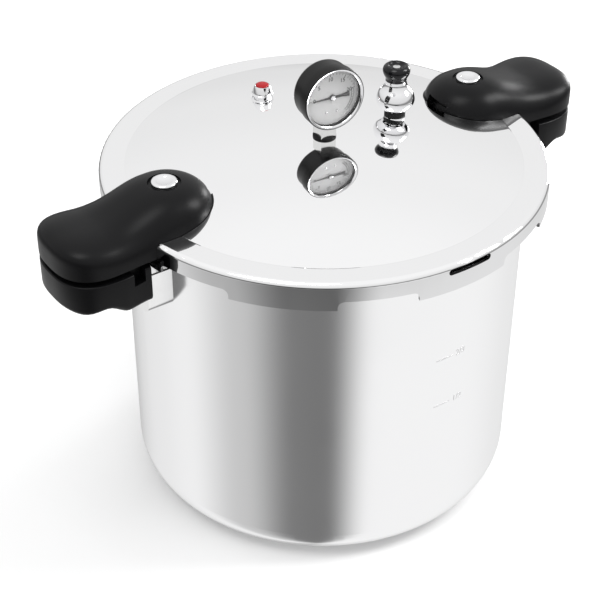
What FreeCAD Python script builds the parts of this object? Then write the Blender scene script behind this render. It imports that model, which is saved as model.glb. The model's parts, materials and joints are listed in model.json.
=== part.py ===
import FreeCAD, Part
import math
import os
import re

import Sketcher

# A stove-top pressure canner: a deep pot with two side handles, a domed lid that locks by turning, a
# weight that rattles on a vent pipe, an air vent with a red button, and a dial gauge. Millimetres, +Z up.
# The origin is the centre of the pot's underside, and the handles point along +X and -X. The lid is
# modelled locked and cold.

doc = FreeCAD.newDocument("PressureCanner")

# --------------------------------------------------------------------------------------------------
# Driving dimensions
# --------------------------------------------------------------------------------------------------

SIZES = {
    # pot
    "pot_radius": 156.0,
    "pot_wall": 2.5,
    "pot_height": 271.5,
    "pot_floor": 5.0,
    "pot_corner": 26.0,
    "rim_thick": 3.5,
    "rim_bead_reach": 5.0,
    # bayonet
    "lug_count": 8.0,
    "lug_reach": 12.2,
    "pot_lug_gap_deg": 25.0,
    "lid_lug_gap_deg": 25.0,
    "lid_lug_thick": 3.0,
    "lid_lug_gap": 0.4,
    "skirt_notch_deg": 19.4,
    "skirt_notch_round": 5.0,
    # lid
    "skirt_clearance": 2.3,
    "lid_wall": 2.5,
    "lid_edge_round": 4.0,
    "skirt_drop": 21.8,
    "skirt_notch_drop": 14.5,
    "lid_flat_width": 20.0,
    "dome_radius": 690.0,
    "window_length": 38.0,
    "window_height": 5.0,
    "window_drop": 3.0,
    "window_shift": 3.0,
    # gasket
    "gasket_thick": 6.0,
    "gasket_width": 15.0,
    "gasket_side_gap": 1.6,
    "seal_gap": 0.1,
    # handles
    "handle_overhang": 64.0,
    "nose_radius": 36.0,
    "screw_inset": 32.0,
    "waist_radius": 150.0,
    "grip_half": 38.5,
    "handle_corner": 34.0,
    "lid_handle_drop": 11.5,
    "lid_handle_rise": 25.0,
    "lid_handle_flat": 10.0,
    "lid_handle_slope": 50.0,
    "lid_handle_dip": 13.0,
    "lid_handle_round": 16.0,
    "handle_seat_gap": 0.2,
    "relief_width": 22.0,
    "relief_height": 5.0,
    "relief_depth": 9.0,
    "pot_handle_gap": 5.0,
    "pot_handle_thick": 22.0,
    "pot_handle_boss_drop": 31.0,
    "pot_handle_boss_length": 19.0,
    "pot_handle_skirt_gap": 1.5,
    "pot_handle_round": 8.0,
    "notch_size": 10.0,
    "notch_inset": 5.0,
    # handle hardware
    "bracket_half": 27.0,
    "bracket_sheet": 2.0,
    "bracket_height": 34.0,
    "bracket_drop": 14.0,
    "bracket_corner": 8.0,
    "bracket_flange": 15.0,
    "rivet_radius": 2.5,
    "rivet_head_radius": 4.5,
    "rivet_head_height": 1.8,
    "rivet_head_taper": 1.5,
    "handle_screw_radius": 2.5,
    "handle_screw_head_radius": 4.6,
    "handle_screw_head_height": 3.0,
    "handle_screw_head_play": 0.4,
    "handle_screw_sink": 2.0,
    "handle_screw_slot": 1.2,
    "handle_screw_spacing": 30.0,
    "cap_radius": 10.0,
    "cap_height": 3.2,
    "cap_proud": 1.0,
    "cap_recess_play": 2.3,
    "cap_screw_radius": 3.0,
    "cap_screw_length": 14.0,
    "stud_radius": 5.0,
    "stud_height": 16.0,
    # canning rack
    "rack_play": 7.5,
    "rack_thick": 1.6,
    "rack_stand": 14.0,
    "rack_middle_hole_radius": 10.4,
    "rack_hole_radius": 6.5,
    "rack_small_hole_radius": 4.0,
    "rack_ring_shift": 3.0,
    # vent pipe and weight
    "vent_place": 67.5,
    "vent_flange_radius": 7.5,
    "vent_flange_height": 3.0,
    "vent_pipe_radius": 3.2,
    "vent_pipe_bore": 1.3,
    "vent_pipe_height": 17.0,
    "vent_stem_radius": 4.7,
    "vent_stem_drop": 11.0,
    "weight_gap": 5.4,
    "weight_height": 24.6,
    "weight_radius": 15.0,
    "weight_top_radius": 8.5,
    "weight_bore_play": 0.7,
    "weight_seat_gap": 0.1,
    "weight_port_radius": 1.2,
    "weight_port_level": 17.0,
    "weight_port_depth": 4.0,
    "weight_port_count": 4.0,
    "knob_height": 12.4,
    "knob_foot_radius": 8.3,
    "knob_radius": 10.7,
    "knob_dish": 2.0,
    "knob_screw_radius": 1.6,
    # air vent
    "valve_place": 86.0,
    "valve_radius": 8.5,
    "valve_height": 9.4,
    "valve_bore": 5.7,
    "valve_stem_radius": 5.0,
    "valve_stem_drop": 9.0,
    "button_radius": 5.35,
    "pin_radius": 1.6,
    "pin_play": 0.6,
    "pin_travel": 4.0,
    # fittings' bosses, nuts and washers
    "seat_rise": 0.3,
    "nut_flats": 16.0,
    "nut_height": 4.5,
    "washer_radius": 9.0,
    "washer_thick": 1.2,
    "thread_play": 0.1,
    "contact_gap": 0.05,
    # gauge
    "gauge_turn": -6.0,
    "gauge_foot_gap": 0.6,
    "case_radius": 24.0,
    "case_back": 7.5,
    "case_front": 12.0,
    "case_wall": 1.2,
    "case_corner": 4.0,
    "bezel_thick": 1.0,
    "bezel_depth": 3.5,
    "bezel_lip": 1.2,
    "bezel_skirt": 6.5,
    "lens_thick": 1.6,
    "lens_gasket_thick": 0.6,
    "dial_play": 0.3,
    "dial_depth": 2.4,
    "dial_thick": 0.5,
    "pointer_reach": 16.8,
    "pointer_tail": 14.4,
    "pointer_clear": 0.5,
    "pointer_thick": 0.5,
    "socket_square": 13.0,
    "socket_height": 12.0,
    "socket_neck_radius": 4.5,
    "socket_stem_radius": 5.0,
    "socket_stem_drop": 14.0,
    "tube_inset": 7.0,
    "tube_radius": 1.8,
    "tube_back": 3.2,
    "plate_thick": 1.0,
    "plate_rear": -2.0,
    "plate_front": 3.6,
    "gear_module": 0.4,
    "pinion_teeth": 10.0,
    "sector_teeth": 50.0,
    "gear_thick": 1.2,
    "gear_level": 0.4,
    "spring_level": 2.3,
    "spring_width": 0.6,
    "arbor_radius": 0.8,
    "arbor_play": 0.05,
}

sheet = doc.addObject("Spreadsheet::Sheet", "Sizes")
for row, (alias, number) in enumerate(SIZES.items(), start=1):
    sheet.set(f"A{row}", alias)
    sheet.set(f"B{row}", str(number))
    sheet.setAlias(f"B{row}", alias)
doc.recompute()

# --------------------------------------------------------------------------------------------------
# Levels and radii that follow from the driving dimensions, as expressions on the sheet's names
# --------------------------------------------------------------------------------------------------

POT_INSIDE = "(pot_radius - pot_wall)"
RIM_BEAD = "(pot_radius + rim_bead_reach)"
RIM_LUG = "(pot_radius + lug_reach)"
RIM_BOTTOM = "(pot_height - rim_thick)"
LID_UNDER = "(pot_height + seal_gap + gasket_thick)"
LID_FLAT = f"({LID_UNDER} + lid_wall)"
SKIRT_INSIDE = f"({RIM_LUG} + skirt_clearance)"
SKIRT = f"({SKIRT_INSIDE} + lid_wall)"
CREASE = f"({SKIRT} - lid_flat_width)"
DOME_DROP = f"(dome_radius - sqrt(dome_radius ^ 2 - {CREASE} ^ 2))"
DOME_TOP = f"({LID_FLAT} + {DOME_DROP})"
SKIRT_BOTTOM = f"({LID_FLAT} - skirt_drop)"
LID_LUG_TOP = f"({RIM_BOTTOM} - lid_lug_gap)"
LID_LUG_BOTTOM = f"({LID_LUG_TOP} - lid_lug_thick)"
HANDLE_BOTTOM = f"({LID_FLAT} - lid_handle_drop)"
POT_HANDLE_TOP = f"({HANDLE_BOTTOM} - pot_handle_gap)"
POT_HANDLE_BOTTOM = f"({POT_HANDLE_TOP} - pot_handle_thick)"
BOSS_BOTTOM = f"({POT_HANDLE_TOP} - pot_handle_boss_drop)"
SCREW_PLACE = f"({SKIRT} - screw_inset)"
HANDLE_REACH = f"({SKIRT} + handle_overhang)"
BOSS_INNER = f"({SKIRT} + pot_handle_skirt_gap)"
BRACKET_TOP = f"({POT_HANDLE_TOP} - bracket_drop)"
SCREW_LEVEL = f"({BRACKET_TOP} - bracket_height / 4)"
SCREW_HEAD_SEAT = f"({BOSS_INNER} + pot_handle_boss_length - handle_screw_head_height - handle_screw_sink)"


def dome_level(place):
    """Height of the dome's outer surface at a distance from the lid's axis."""
    return f"({DOME_TOP} - dome_radius + sqrt(dome_radius ^ 2 - ({place}) ^ 2))"


# Each fitting stands on a level boss: its top clears the dome's high side and its underside the low side.
VENT_SEAT = f"({dome_level('vent_place - vent_flange_radius')} + seat_rise)"
VENT_UNDER = f"({dome_level('vent_place + washer_radius')} - lid_wall - seat_rise)"
VALVE_SEAT = f"({dome_level('valve_place - valve_radius')} + seat_rise)"
VALVE_UNDER = f"({dome_level('valve_place + washer_radius')} - lid_wall - seat_rise)"
STUD_SEAT = f"({dome_level(SCREW_PLACE + ' - stud_radius - 2')} + seat_rise)"
HANDLE_TOP = f"({LID_FLAT} + lid_handle_rise)"
CAP_UNDER = f"({HANDLE_TOP} + cap_proud - cap_height)"
GAUGE_RISE = "(washer_thick + socket_height + gauge_foot_gap + case_radius)"
GAUGE_CENTRE = f"({DOME_TOP} + {GAUGE_RISE})"
BEZEL_FRONT = "(case_front + bezel_depth)"
DIAL_BACK = "(case_front - dial_depth)"
POINTER_BACK = f"({DIAL_BACK} + dial_thick + pointer_clear)"
TUBE_PATH = "(case_radius - tube_inset)"
RACK_RADIUS = f"({POT_INSIDE} - rack_play)"

# --------------------------------------------------------------------------------------------------
# Helpers
# --------------------------------------------------------------------------------------------------

pieces = {}


def bound(expression):
    """The same expression with each of the sheet's names written as a reference to the sheet."""
    return re.sub(
        r"[A-Za-z_]\w*",
        lambda word: "Sizes." + word.group() if word.group() in SIZES else word.group(),
        str(expression),
    )


def value(expression):
    """The number that an expression on the sheet's names has now."""
    return float(sheet.evalExpression(bound(expression)))


def bind(item, **expressions):
    """Bind properties of a document object; double underscores in a keyword stand for dots."""
    for path, expression in expressions.items():
        item.setExpression(path.replace("__", "."), bound(expression))


def place(item, x="0", y="0", z="0"):
    bind(item, Placement__Base__x=x, Placement__Base__y=y, Placement__Base__z=z)


def finish(item, node):
    """Name a finished piece, so that it is checked and exported."""
    item.Label = node
    pieces[node] = item
    return item


def new_body(node):
    body = doc.addObject("PartDesign::Body", "Body_" + node)
    return finish(body, node)


def origin_feature(body, role):
    return next(feature for feature in body.Origin.OriginFeatures if feature.Role == role)


def seated_sketch(body, role, name, level, turn):
    """An empty sketch on one of the body's planes, raised to a level and turned about the body's Z axis."""
    sketch = body.newObject("Sketcher::SketchObject", name)
    sketch.AttachmentSupport = [(origin_feature(body, role), "")]
    sketch.MapMode = "FlatFace"
    axis = FreeCAD.Vector(0, 0, 1) if role == "XY_Plane" else FreeCAD.Vector(0, 1, 0)
    sketch.AttachmentOffset = FreeCAD.Placement(FreeCAD.Vector(), FreeCAD.Rotation(axis, turn))
    bind(sketch, AttachmentOffset__Base__z=level)
    return sketch


def bind_size(sketch, constraint, size):
    """Add a constraint whose number follows an expression on the sheet's names."""
    sketch.setExpression(f"Constraints[{sketch.addConstraint(constraint)}]", bound(size))


def outline(body, role, points, level="0", turn=0.0):
    """A closed sketch of straight runs and arcs, each corner bound to the sheet.

    A point is (across, up) for a straight run to the next point, or (across, up, radius, side) for an arc to
    it; side is +1 where the arc turns left along the outline and -1 where it turns right.
    """
    sketch = seated_sketch(body, role, "Outline", level, turn)
    corners = [FreeCAD.Vector(value(point[0]), value(point[1]), 0) for point in points]
    count = len(points)
    for index, point in enumerate(points):
        start, end = corners[index], corners[(index + 1) % count]
        if len(point) == 2:
            sketch.addGeometry(Part.LineSegment(start, end), False)
            continue
        radius, side = value(point[2]), point[3]
        chord = end - start
        across = FreeCAD.Vector(-chord.y, chord.x, 0).normalize() * side
        half = chord.Length / 2
        centre = start + chord * 0.5 + across * math.sqrt(max(radius ** 2 - half ** 2, 0.0))
        middle = centre - across * radius
        sketch.addGeometry(Part.Arc(start, middle, end), False)
    # An arc is stored counter-clockwise, so one that turns right starts at its far corner.
    first = [1 if len(point) == 2 or point[3] > 0 else 2 for point in points]
    last = [3 - end for end in first]
    for index, point in enumerate(points):
        following = (index + 1) % count
        joined = Sketcher.Constraint("Coincident", index, last[index], following, first[following])
        sketch.addConstraint(joined)
        for kind, size, number in zip(("DistanceX", "DistanceY"), point, corners[index]):
            bind_size(sketch, Sketcher.Constraint(kind, -1, 1, index, first[index], number), size)
        if len(point) == 4:
            bind_size(sketch, Sketcher.Constraint("Radius", index, value(point[2])), point[2])
    return sketch


def circles(body, role, rings, level="0", turn=0.0):
    """A sketch of whole circles, each (across, up, radius)."""
    sketch = seated_sketch(body, role, "Circles", level, turn)
    for index, (across, up, radius) in enumerate(rings):
        centre = FreeCAD.Vector(value(across), value(up), 0)
        sketch.addGeometry(Part.Circle(centre, FreeCAD.Vector(0, 0, 1), value(radius)), False)
        for kind, size, number in (("DistanceX", across, centre.x), ("DistanceY", up, centre.y)):
            bind_size(sketch, Sketcher.Constraint(kind, -1, 1, index, 3, number), size)
        bind_size(sketch, Sketcher.Constraint("Radius", index, value(radius)), radius)
    return sketch


def revolve(body, points, angle=360.0, kind="PartDesign::Revolution"):
    """Turn an outline on the XZ plane about the body's Z axis."""
    sketch = outline(body, "XZ_Plane", points)
    feature = body.newObject(kind, "Turned")
    feature.Profile = sketch
    feature.ReferenceAxis = (sketch, ["V_Axis"])
    feature.Angle = angle
    return feature


def groove(body, points):
    return cutting(body, lambda: revolve(body, points, kind="PartDesign::Groove"))


def pad(body, sketch, length, both_ways=False, downwards=False):
    feature = body.newObject("PartDesign::Pad", "Pad")
    feature.Profile = sketch
    feature.SideType = "Symmetric" if both_ways else "One side"
    feature.Reversed = downwards
    bind(feature, Length=length)
    return feature


def pocket(body, sketch, length=None, both_ways=False, outwards=False):
    """Cut a sketch into a body: against its plane's normal, along it (outwards), or both ways.

    With no length it cuts through everything on that side.
    """
    def cut():
        feature = body.newObject("PartDesign::Pocket", "Pocket")
        feature.Profile = sketch
        feature.SideType = "Symmetric" if both_ways else "One side"
        feature.Reversed = outwards
        if length is None:
            feature.Type = "ThroughAll"
        else:
            bind(feature, Length=length)
        return feature
    return cutting(body, cut)


def cutting(body, make):
    """Make a feature that has to take material away, and stop if it takes none."""
    doc.recompute()
    faces, volume = len(body.Shape.Faces), body.Shape.Volume
    feature = make()
    doc.recompute()
    if len(body.Shape.Faces) == faces and body.Shape.Volume >= volume:
        raise RuntimeError(f"a cut took nothing from {body.Label}")
    return feature


def around(body, feature, count):
    """Repeat a feature around the body's Z axis."""
    pattern = body.newObject("PartDesign::PolarPattern", "Around")
    pattern.Originals = [feature]
    pattern.Axis = (origin_feature(body, "Z_Axis"), [""])
    pattern.Angle = 360
    bind(pattern, Occurrences=count)
    body.Tip = pattern
    return pattern


def round_edges(body, radius, choose):
    """Round those edges of the body's last feature that the choose function picks."""
    doc.recompute()
    base = body.Tip
    names = [f"Edge{n}" for n, edge in enumerate(base.Shape.Edges, start=1) if choose(edge)]
    feature = body.newObject("PartDesign::Fillet", "Rounded")
    feature.Base = (base, names)
    bind(feature, Radius=radius)
    doc.recompute()
    return feature


def rectangle(x_low, y_low, x_high, y_high):
    return [(x_low, y_low), (x_high, y_low), (x_high, y_high), (x_low, y_high)]


def hexagon(flats):
    """Corners of a hexagon with two flats square to Y."""
    reach = f"({flats}) / sqrt(3)"
    return [(f"{reach} * cos({60 * k} deg)", f"{reach} * sin({60 * k} deg)") for k in range(6)]


def ring_sector(inner, outer, angle):
    """A sector of a ring, centred on +X, with both curved sides true arcs."""
    half = f"({angle}) * 0.5 deg"
    return [
        (f"({inner}) * cos({half})", f"-({inner}) * sin({half})"),
        (f"({outer}) * cos({half})", f"-({outer}) * sin({half})", outer, 1),
        (f"({outer}) * cos({half})", f"({outer}) * sin({half})"),
        (f"({inner}) * cos({half})", f"({inner}) * sin({half})", inner, -1),
    ]


def turned(node, points, x="0", y="0", z="0", angle=360.0):
    """A piece turned about a vertical axis at x, y, with its outline's zero at height z."""
    body = new_body(node)
    revolve(body, points, angle)
    place(body, x, y, z)
    return body


def hex_nut(node, hole, x, y, top, flats="nut_flats"):
    """A hexagon nut hanging down from a level."""
    body = new_body(node)
    pad(body, outline(body, "XY_Plane", hexagon(flats)), "nut_height", downwards=True)
    pocket(body, circles(body, "XY_Plane", [("0", "0", hole)]))
    place(body, x, y, top)
    return body


def washer(node, hole, x, y, bottom):
    body = new_body(node)
    pad(body, circles(body, "XY_Plane", [("0", "0", "washer_radius"), ("0", "0", hole)]), "washer_thick")
    place(body, x, y, bottom)
    return body


def half_turn(body, side):
    """Put a piece that is drawn on the right at the other handle."""
    if side == "left":
        body.Placement = FreeCAD.Placement(FreeCAD.Vector(), FreeCAD.Rotation(FreeCAD.Vector(0, 0, 1), 180))


# --------------------------------------------------------------------------------------------------
# Pot
# --------------------------------------------------------------------------------------------------

LUG_STEP = 360 / SIZES["lug_count"]


def make_pot_shell():
    body = new_body("pot_shell")
    revolve(body, [
        ("0", "0"),
        ("pot_radius - pot_corner", "0", "pot_corner", 1),
        ("pot_radius", "pot_corner"),
        ("pot_radius", RIM_BOTTOM),
        (RIM_LUG, RIM_BOTTOM),
        (RIM_LUG, "pot_height"),
        (POT_INSIDE, "pot_height"),
        (POT_INSIDE, "pot_corner", "pot_corner - pot_wall", -1),
        ("pot_radius - pot_corner", "pot_wall"),
        ("pot_radius - pot_corner", "pot_floor"),
        ("0", "pot_floor"),
    ])
    gap = ring_sector(RIM_BEAD, f"{RIM_LUG} + 2", "pot_lug_gap_deg")
    sketch = outline(body, "XY_Plane", gap, level="pot_height + 1", turn=LUG_STEP / 2)
    around(body, pocket(body, sketch, "rim_thick + 2"), "lug_count")
    rivet_holes(body)
    rivet_holes(body, extra_turn=180.0)


def make_rack():
    body = new_body("canning_rack")
    ring = "(pot_radius - pot_corner + rack_ring_shift)"
    revolve(body, [
        ("0", "rack_stand"),
        (f"{ring} - rack_thick", "rack_stand"),
        (f"{ring} - rack_thick", "0"),
        (ring, "0"),
        (ring, "rack_stand"),
        (RACK_RADIUS, "rack_stand"),
        (RACK_RADIUS, "rack_stand + rack_thick"),
        ("0", "rack_stand + rack_thick"),
    ])
    above = "rack_stand + rack_thick + 1"
    through = "rack_thick + 2"
    middle = circles(body, "XY_Plane", [("0", "0", "rack_middle_hole_radius")], level=above)
    pocket(body, middle, through)
    # Rings of holes: share of the rack's radius, number of holes, turn of the first one, and their size.
    rings = (
        (0.30, 6, 0.0, "rack_hole_radius"),
        (0.54, 12, 15.0, "rack_hole_radius"),
        (0.80, 18, 0.0, "rack_hole_radius"),
        (0.42, 12, 0.0, "rack_small_hole_radius"),
        (0.67, 18, 10.0, "rack_small_hole_radius"),
    )
    for share, count, turn, size in rings:
        hole = circles(body, "XY_Plane", [(f"{RACK_RADIUS} * {share}", "0", size)], level=above, turn=turn)
        around(body, pocket(body, hole, through), count)
    place(body, z="pot_floor")


def grip_corners():
    """The plan's tangent points: a nose circle on the cap screw, a hollow waist, and a round-cornered end.

    The waist is an arc of waist_radius that touches the nose circle and the corner circle from outside.
    """
    corner_x = f"({HANDLE_REACH} - handle_corner)"
    corner_y = "(grip_half - handle_corner)"
    run = f"({corner_x} - {SCREW_PLACE})"
    apart = f"sqrt({run} ^ 2 + {corner_y} ^ 2)"
    to_nose = "(nose_radius + waist_radius)"
    to_corner = "(handle_corner + waist_radius)"
    along = f"(({to_nose} ^ 2 - {to_corner} ^ 2 + {apart} ^ 2) / (2 * {apart}))"
    off = f"sqrt({to_nose} ^ 2 - {along} ^ 2)"
    waist_x = f"(({along} * {run} - {off} * {corner_y}) / {apart})"
    waist_y = f"(({along} * {corner_y} + {off} * {run}) / {apart})"
    nose_touch = (f"({SCREW_PLACE} + nose_radius * {waist_x} / {to_nose})",
                  f"(nose_radius * {waist_y} / {to_nose})")
    corner_touch = (f"({corner_x} + handle_corner * ({waist_x} - {run}) / {to_corner})",
                    f"({corner_y} + handle_corner * ({waist_y} - {corner_y}) / {to_corner})")
    waist_at = f"({waist_y} - sqrt(waist_radius ^ 2 - (%s - {SCREW_PLACE} - {waist_x}) ^ 2))"
    return nose_touch, corner_touch, corner_y, waist_at


def grip_end(corner_touch, corner_y):
    """The outline from the near waist round the grip's end to the far waist."""
    touch_x, touch_y = corner_touch
    return [
        (touch_x, f"-{touch_y}", "handle_corner", 1),
        (HANDLE_REACH, f"-{corner_y}"),
        (HANDLE_REACH, corner_y, "handle_corner", 1),
        (touch_x, touch_y, "waist_radius", -1),
    ]


def screw_holes():
    """Centres and radius of the two holes that a pot handle's screws pass through."""
    return [(f"{sign} * handle_screw_spacing / 2", SCREW_LEVEL, "handle_screw_radius + thread_play")
            for sign in ("-1", "1")]


def make_pot_handle(side):
    body = new_body("pot_handle_" + side)
    _, corner_touch, corner_y, waist_at = grip_corners()
    start_half = waist_at % BOSS_INNER
    plan = [(BOSS_INNER, f"-{start_half}", "waist_radius", -1)] + grip_end(corner_touch, corner_y)
    plan.append((BOSS_INNER, start_half))
    pad(body, outline(body, "XY_Plane", plan, level=POT_HANDLE_BOTTOM), "pot_handle_thick")
    low = value(POT_HANDLE_BOTTOM)
    inner = value(BOSS_INNER)
    round_edges(body, "pot_handle_round",
                lambda edge: edge.BoundBox.ZMax < low + 0.01 and edge.BoundBox.XMax > inner + 1)
    boss_outer = f"({BOSS_INNER} + pot_handle_boss_length)"
    boss = rectangle(BOSS_INNER, "-nose_radius + 1", boss_outer, "nose_radius - 1")
    pad(body, outline(body, "XY_Plane", boss, level=BOSS_BOTTOM), "pot_handle_boss_drop - 1")
    notch_x = f"{BOSS_INNER} + notch_inset"
    for edge_side in ("-1", "1"):
        inner = f"{edge_side} * (nose_radius - notch_size)"
        outer = f"{edge_side} * (nose_radius + 2)"
        corners = rectangle(notch_x, inner, f"{notch_x} + notch_size", outer)
        if edge_side == "-1":
            corners.reverse()
        sketch = outline(body, "XY_Plane", corners, level=f"{POT_HANDLE_TOP} + 1")
        pocket(body, sketch, "notch_size + 1")
    holes = screw_holes()
    pocket(body, circles(body, "YZ_Plane", holes), HANDLE_REACH, outwards=True)
    mouths = [(across, up, "handle_screw_head_radius + handle_screw_head_play") for across, up, _ in holes]
    pocket(body, circles(body, "YZ_Plane", mouths, level=SCREW_HEAD_SEAT), HANDLE_REACH, outwards=True)
    half_turn(body, side)


def make_bracket(side):
    body = new_body("handle_bracket_" + side)
    wall = "(pot_radius + contact_gap)"
    inner_wall = f"({wall} + bracket_sheet)"
    front = f"({BOSS_INNER} - contact_gap)"
    half = "bracket_half"
    block = [
        (f"sqrt({wall} ^ 2 - {half} ^ 2)", f"-{half}"),
        (front, f"-{half}"),
        (front, half),
        (f"sqrt({wall} ^ 2 - {half} ^ 2)", half, wall, -1),
    ]
    pad(body, outline(body, "XY_Plane", block, level=BRACKET_TOP), "bracket_height", downwards=True)
    inside = "(bracket_half - bracket_sheet)"
    hollow = [
        (f"sqrt({inner_wall} ^ 2 - {inside} ^ 2)", f"-{inside}"),
        (f"{front} - bracket_sheet", f"-{inside}"),
        (f"{front} - bracket_sheet", inside),
        (f"sqrt({inner_wall} ^ 2 - {inside} ^ 2)", inside, inner_wall, -1),
    ]
    pocket(body, outline(body, "XY_Plane", hollow, level=f"{BRACKET_TOP} + 1"), "bracket_height + 2")
    mouth = f"({inside} - bracket_flange)"
    back = rectangle("pot_radius - 10", f"-{mouth}", f"{inner_wall} + 1", mouth)
    pocket(body, outline(body, "XY_Plane", back, level=f"{BRACKET_TOP} + 1"), "bracket_height + 2")
    low = f"({BRACKET_TOP} - bracket_height)"
    for sign, turn in (("-1", -1), ("1", 1)):
        corner = [
            (f"{sign} * (bracket_half + 1)", f"{low} - 1"),
            (f"{sign} * (bracket_half + 1)", f"{low} + bracket_corner"),
            (f"{sign} * bracket_half", f"{low} + bracket_corner", "bracket_corner", -turn),
            (f"{sign} * (bracket_half - bracket_corner)", low),
            (f"{sign} * (bracket_half - bracket_corner)", f"{low} - 1"),
        ]
        pocket(body, outline(body, "YZ_Plane", corner), HANDLE_REACH, outwards=True)
    pocket(body, circles(body, "YZ_Plane", screw_holes()), HANDLE_REACH, outwards=True)
    rivet_holes(body)
    half_turn(body, side)


def rivet_spots():
    """Turn about the pot's axis, in degrees, and level of each rivet on the right-hand bracket."""
    across = value("bracket_half - bracket_sheet - bracket_flange / 2")
    swing = math.degrees(math.asin(across / value("pot_radius")))
    levels = [f"({BRACKET_TOP} - bracket_height * {share})" for share in (0.25, 0.75)]
    return [(sign * swing, level) for sign in (-1, 1) for level in levels]


def rivet_holes(body, extra_turn=0.0):
    for swing, level in rivet_spots():
        ring = [("0", level, "rivet_radius + thread_play")]
        hole = circles(body, "YZ_Plane", ring, turn=swing + extra_turn)
        pocket(body, hole, "pot_radius + bracket_sheet + 3", outwards=True)


def make_rivets(side):
    """Four rivets in one node, each along the pot's radius through the wall and a bracket flange."""
    inside = value(f"{POT_INSIDE} - 2 * contact_gap")
    outside = value("pot_radius + bracket_sheet + 4 * contact_gap")
    head = value("rivet_head_height")
    wide = value("rivet_head_radius")
    narrow = wide - value("rivet_head_taper")
    along = FreeCAD.Vector(1, 0, 0)
    solids = []
    for swing, level in rivet_spots():
        height = value(level)
        root = FreeCAD.Vector(inside, 0, height)
        shank = Part.makeCylinder(value("rivet_radius"), outside - inside, root, along)
        inner = Part.makeCone(narrow, wide, head, FreeCAD.Vector(inside - head, 0, height), along)
        outer = Part.makeCone(wide, narrow, head, FreeCAD.Vector(outside, 0, height), along)
        rivet = shank.fuse([inner, outer]).removeSplitter()
        rivet.rotate(FreeCAD.Vector(), FreeCAD.Vector(0, 0, 1), swing)
        solids.append(rivet)
    rivets = doc.addObject("Part::Feature", "Rivets_" + side)
    rivets.Shape = Part.makeCompound(solids)
    half_turn(rivets, side)
    finish(rivets, "bracket_rivets_" + side)


def make_handle_screws(side):
    """Two screws in one node, heads in the boss and points in the bracket."""
    under_head = value(f"{SCREW_HEAD_SEAT} + contact_gap")
    tip = value(f"{BOSS_INNER} - bracket_sheet - 3")
    level = value(SCREW_LEVEL)
    head_radius = value("handle_screw_head_radius")
    head_height = value("handle_screw_head_height")
    slot_width = value("handle_screw_slot")
    slot_reach = head_radius + 1
    along = FreeCAD.Vector(1, 0, 0)
    solids = []
    for sign in (-1, 1):
        y = sign * value("handle_screw_spacing") / 2
        start = FreeCAD.Vector(tip, y, level)
        shank = Part.makeCylinder(value("handle_screw_radius"), under_head - tip, start, along)
        head = Part.makeCylinder(head_radius, head_height, FreeCAD.Vector(under_head, y, level), along)
        slot = Part.makeBox(slot_width, slot_width, 2 * slot_reach)
        slot.translate(FreeCAD.Vector(under_head + head_height - slot_width + 0.1, y - slot_width / 2,
                                      level - slot_reach))
        solids.append(shank.fuse(head).removeSplitter().cut(slot))
    screws = doc.addObject("Part::Feature", "Screws_" + side)
    screws.Shape = Part.makeCompound(solids)
    half_turn(screws, side)
    finish(screws, "pot_handle_screws_" + side)


# --------------------------------------------------------------------------------------------------
# Lid
# --------------------------------------------------------------------------------------------------

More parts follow.
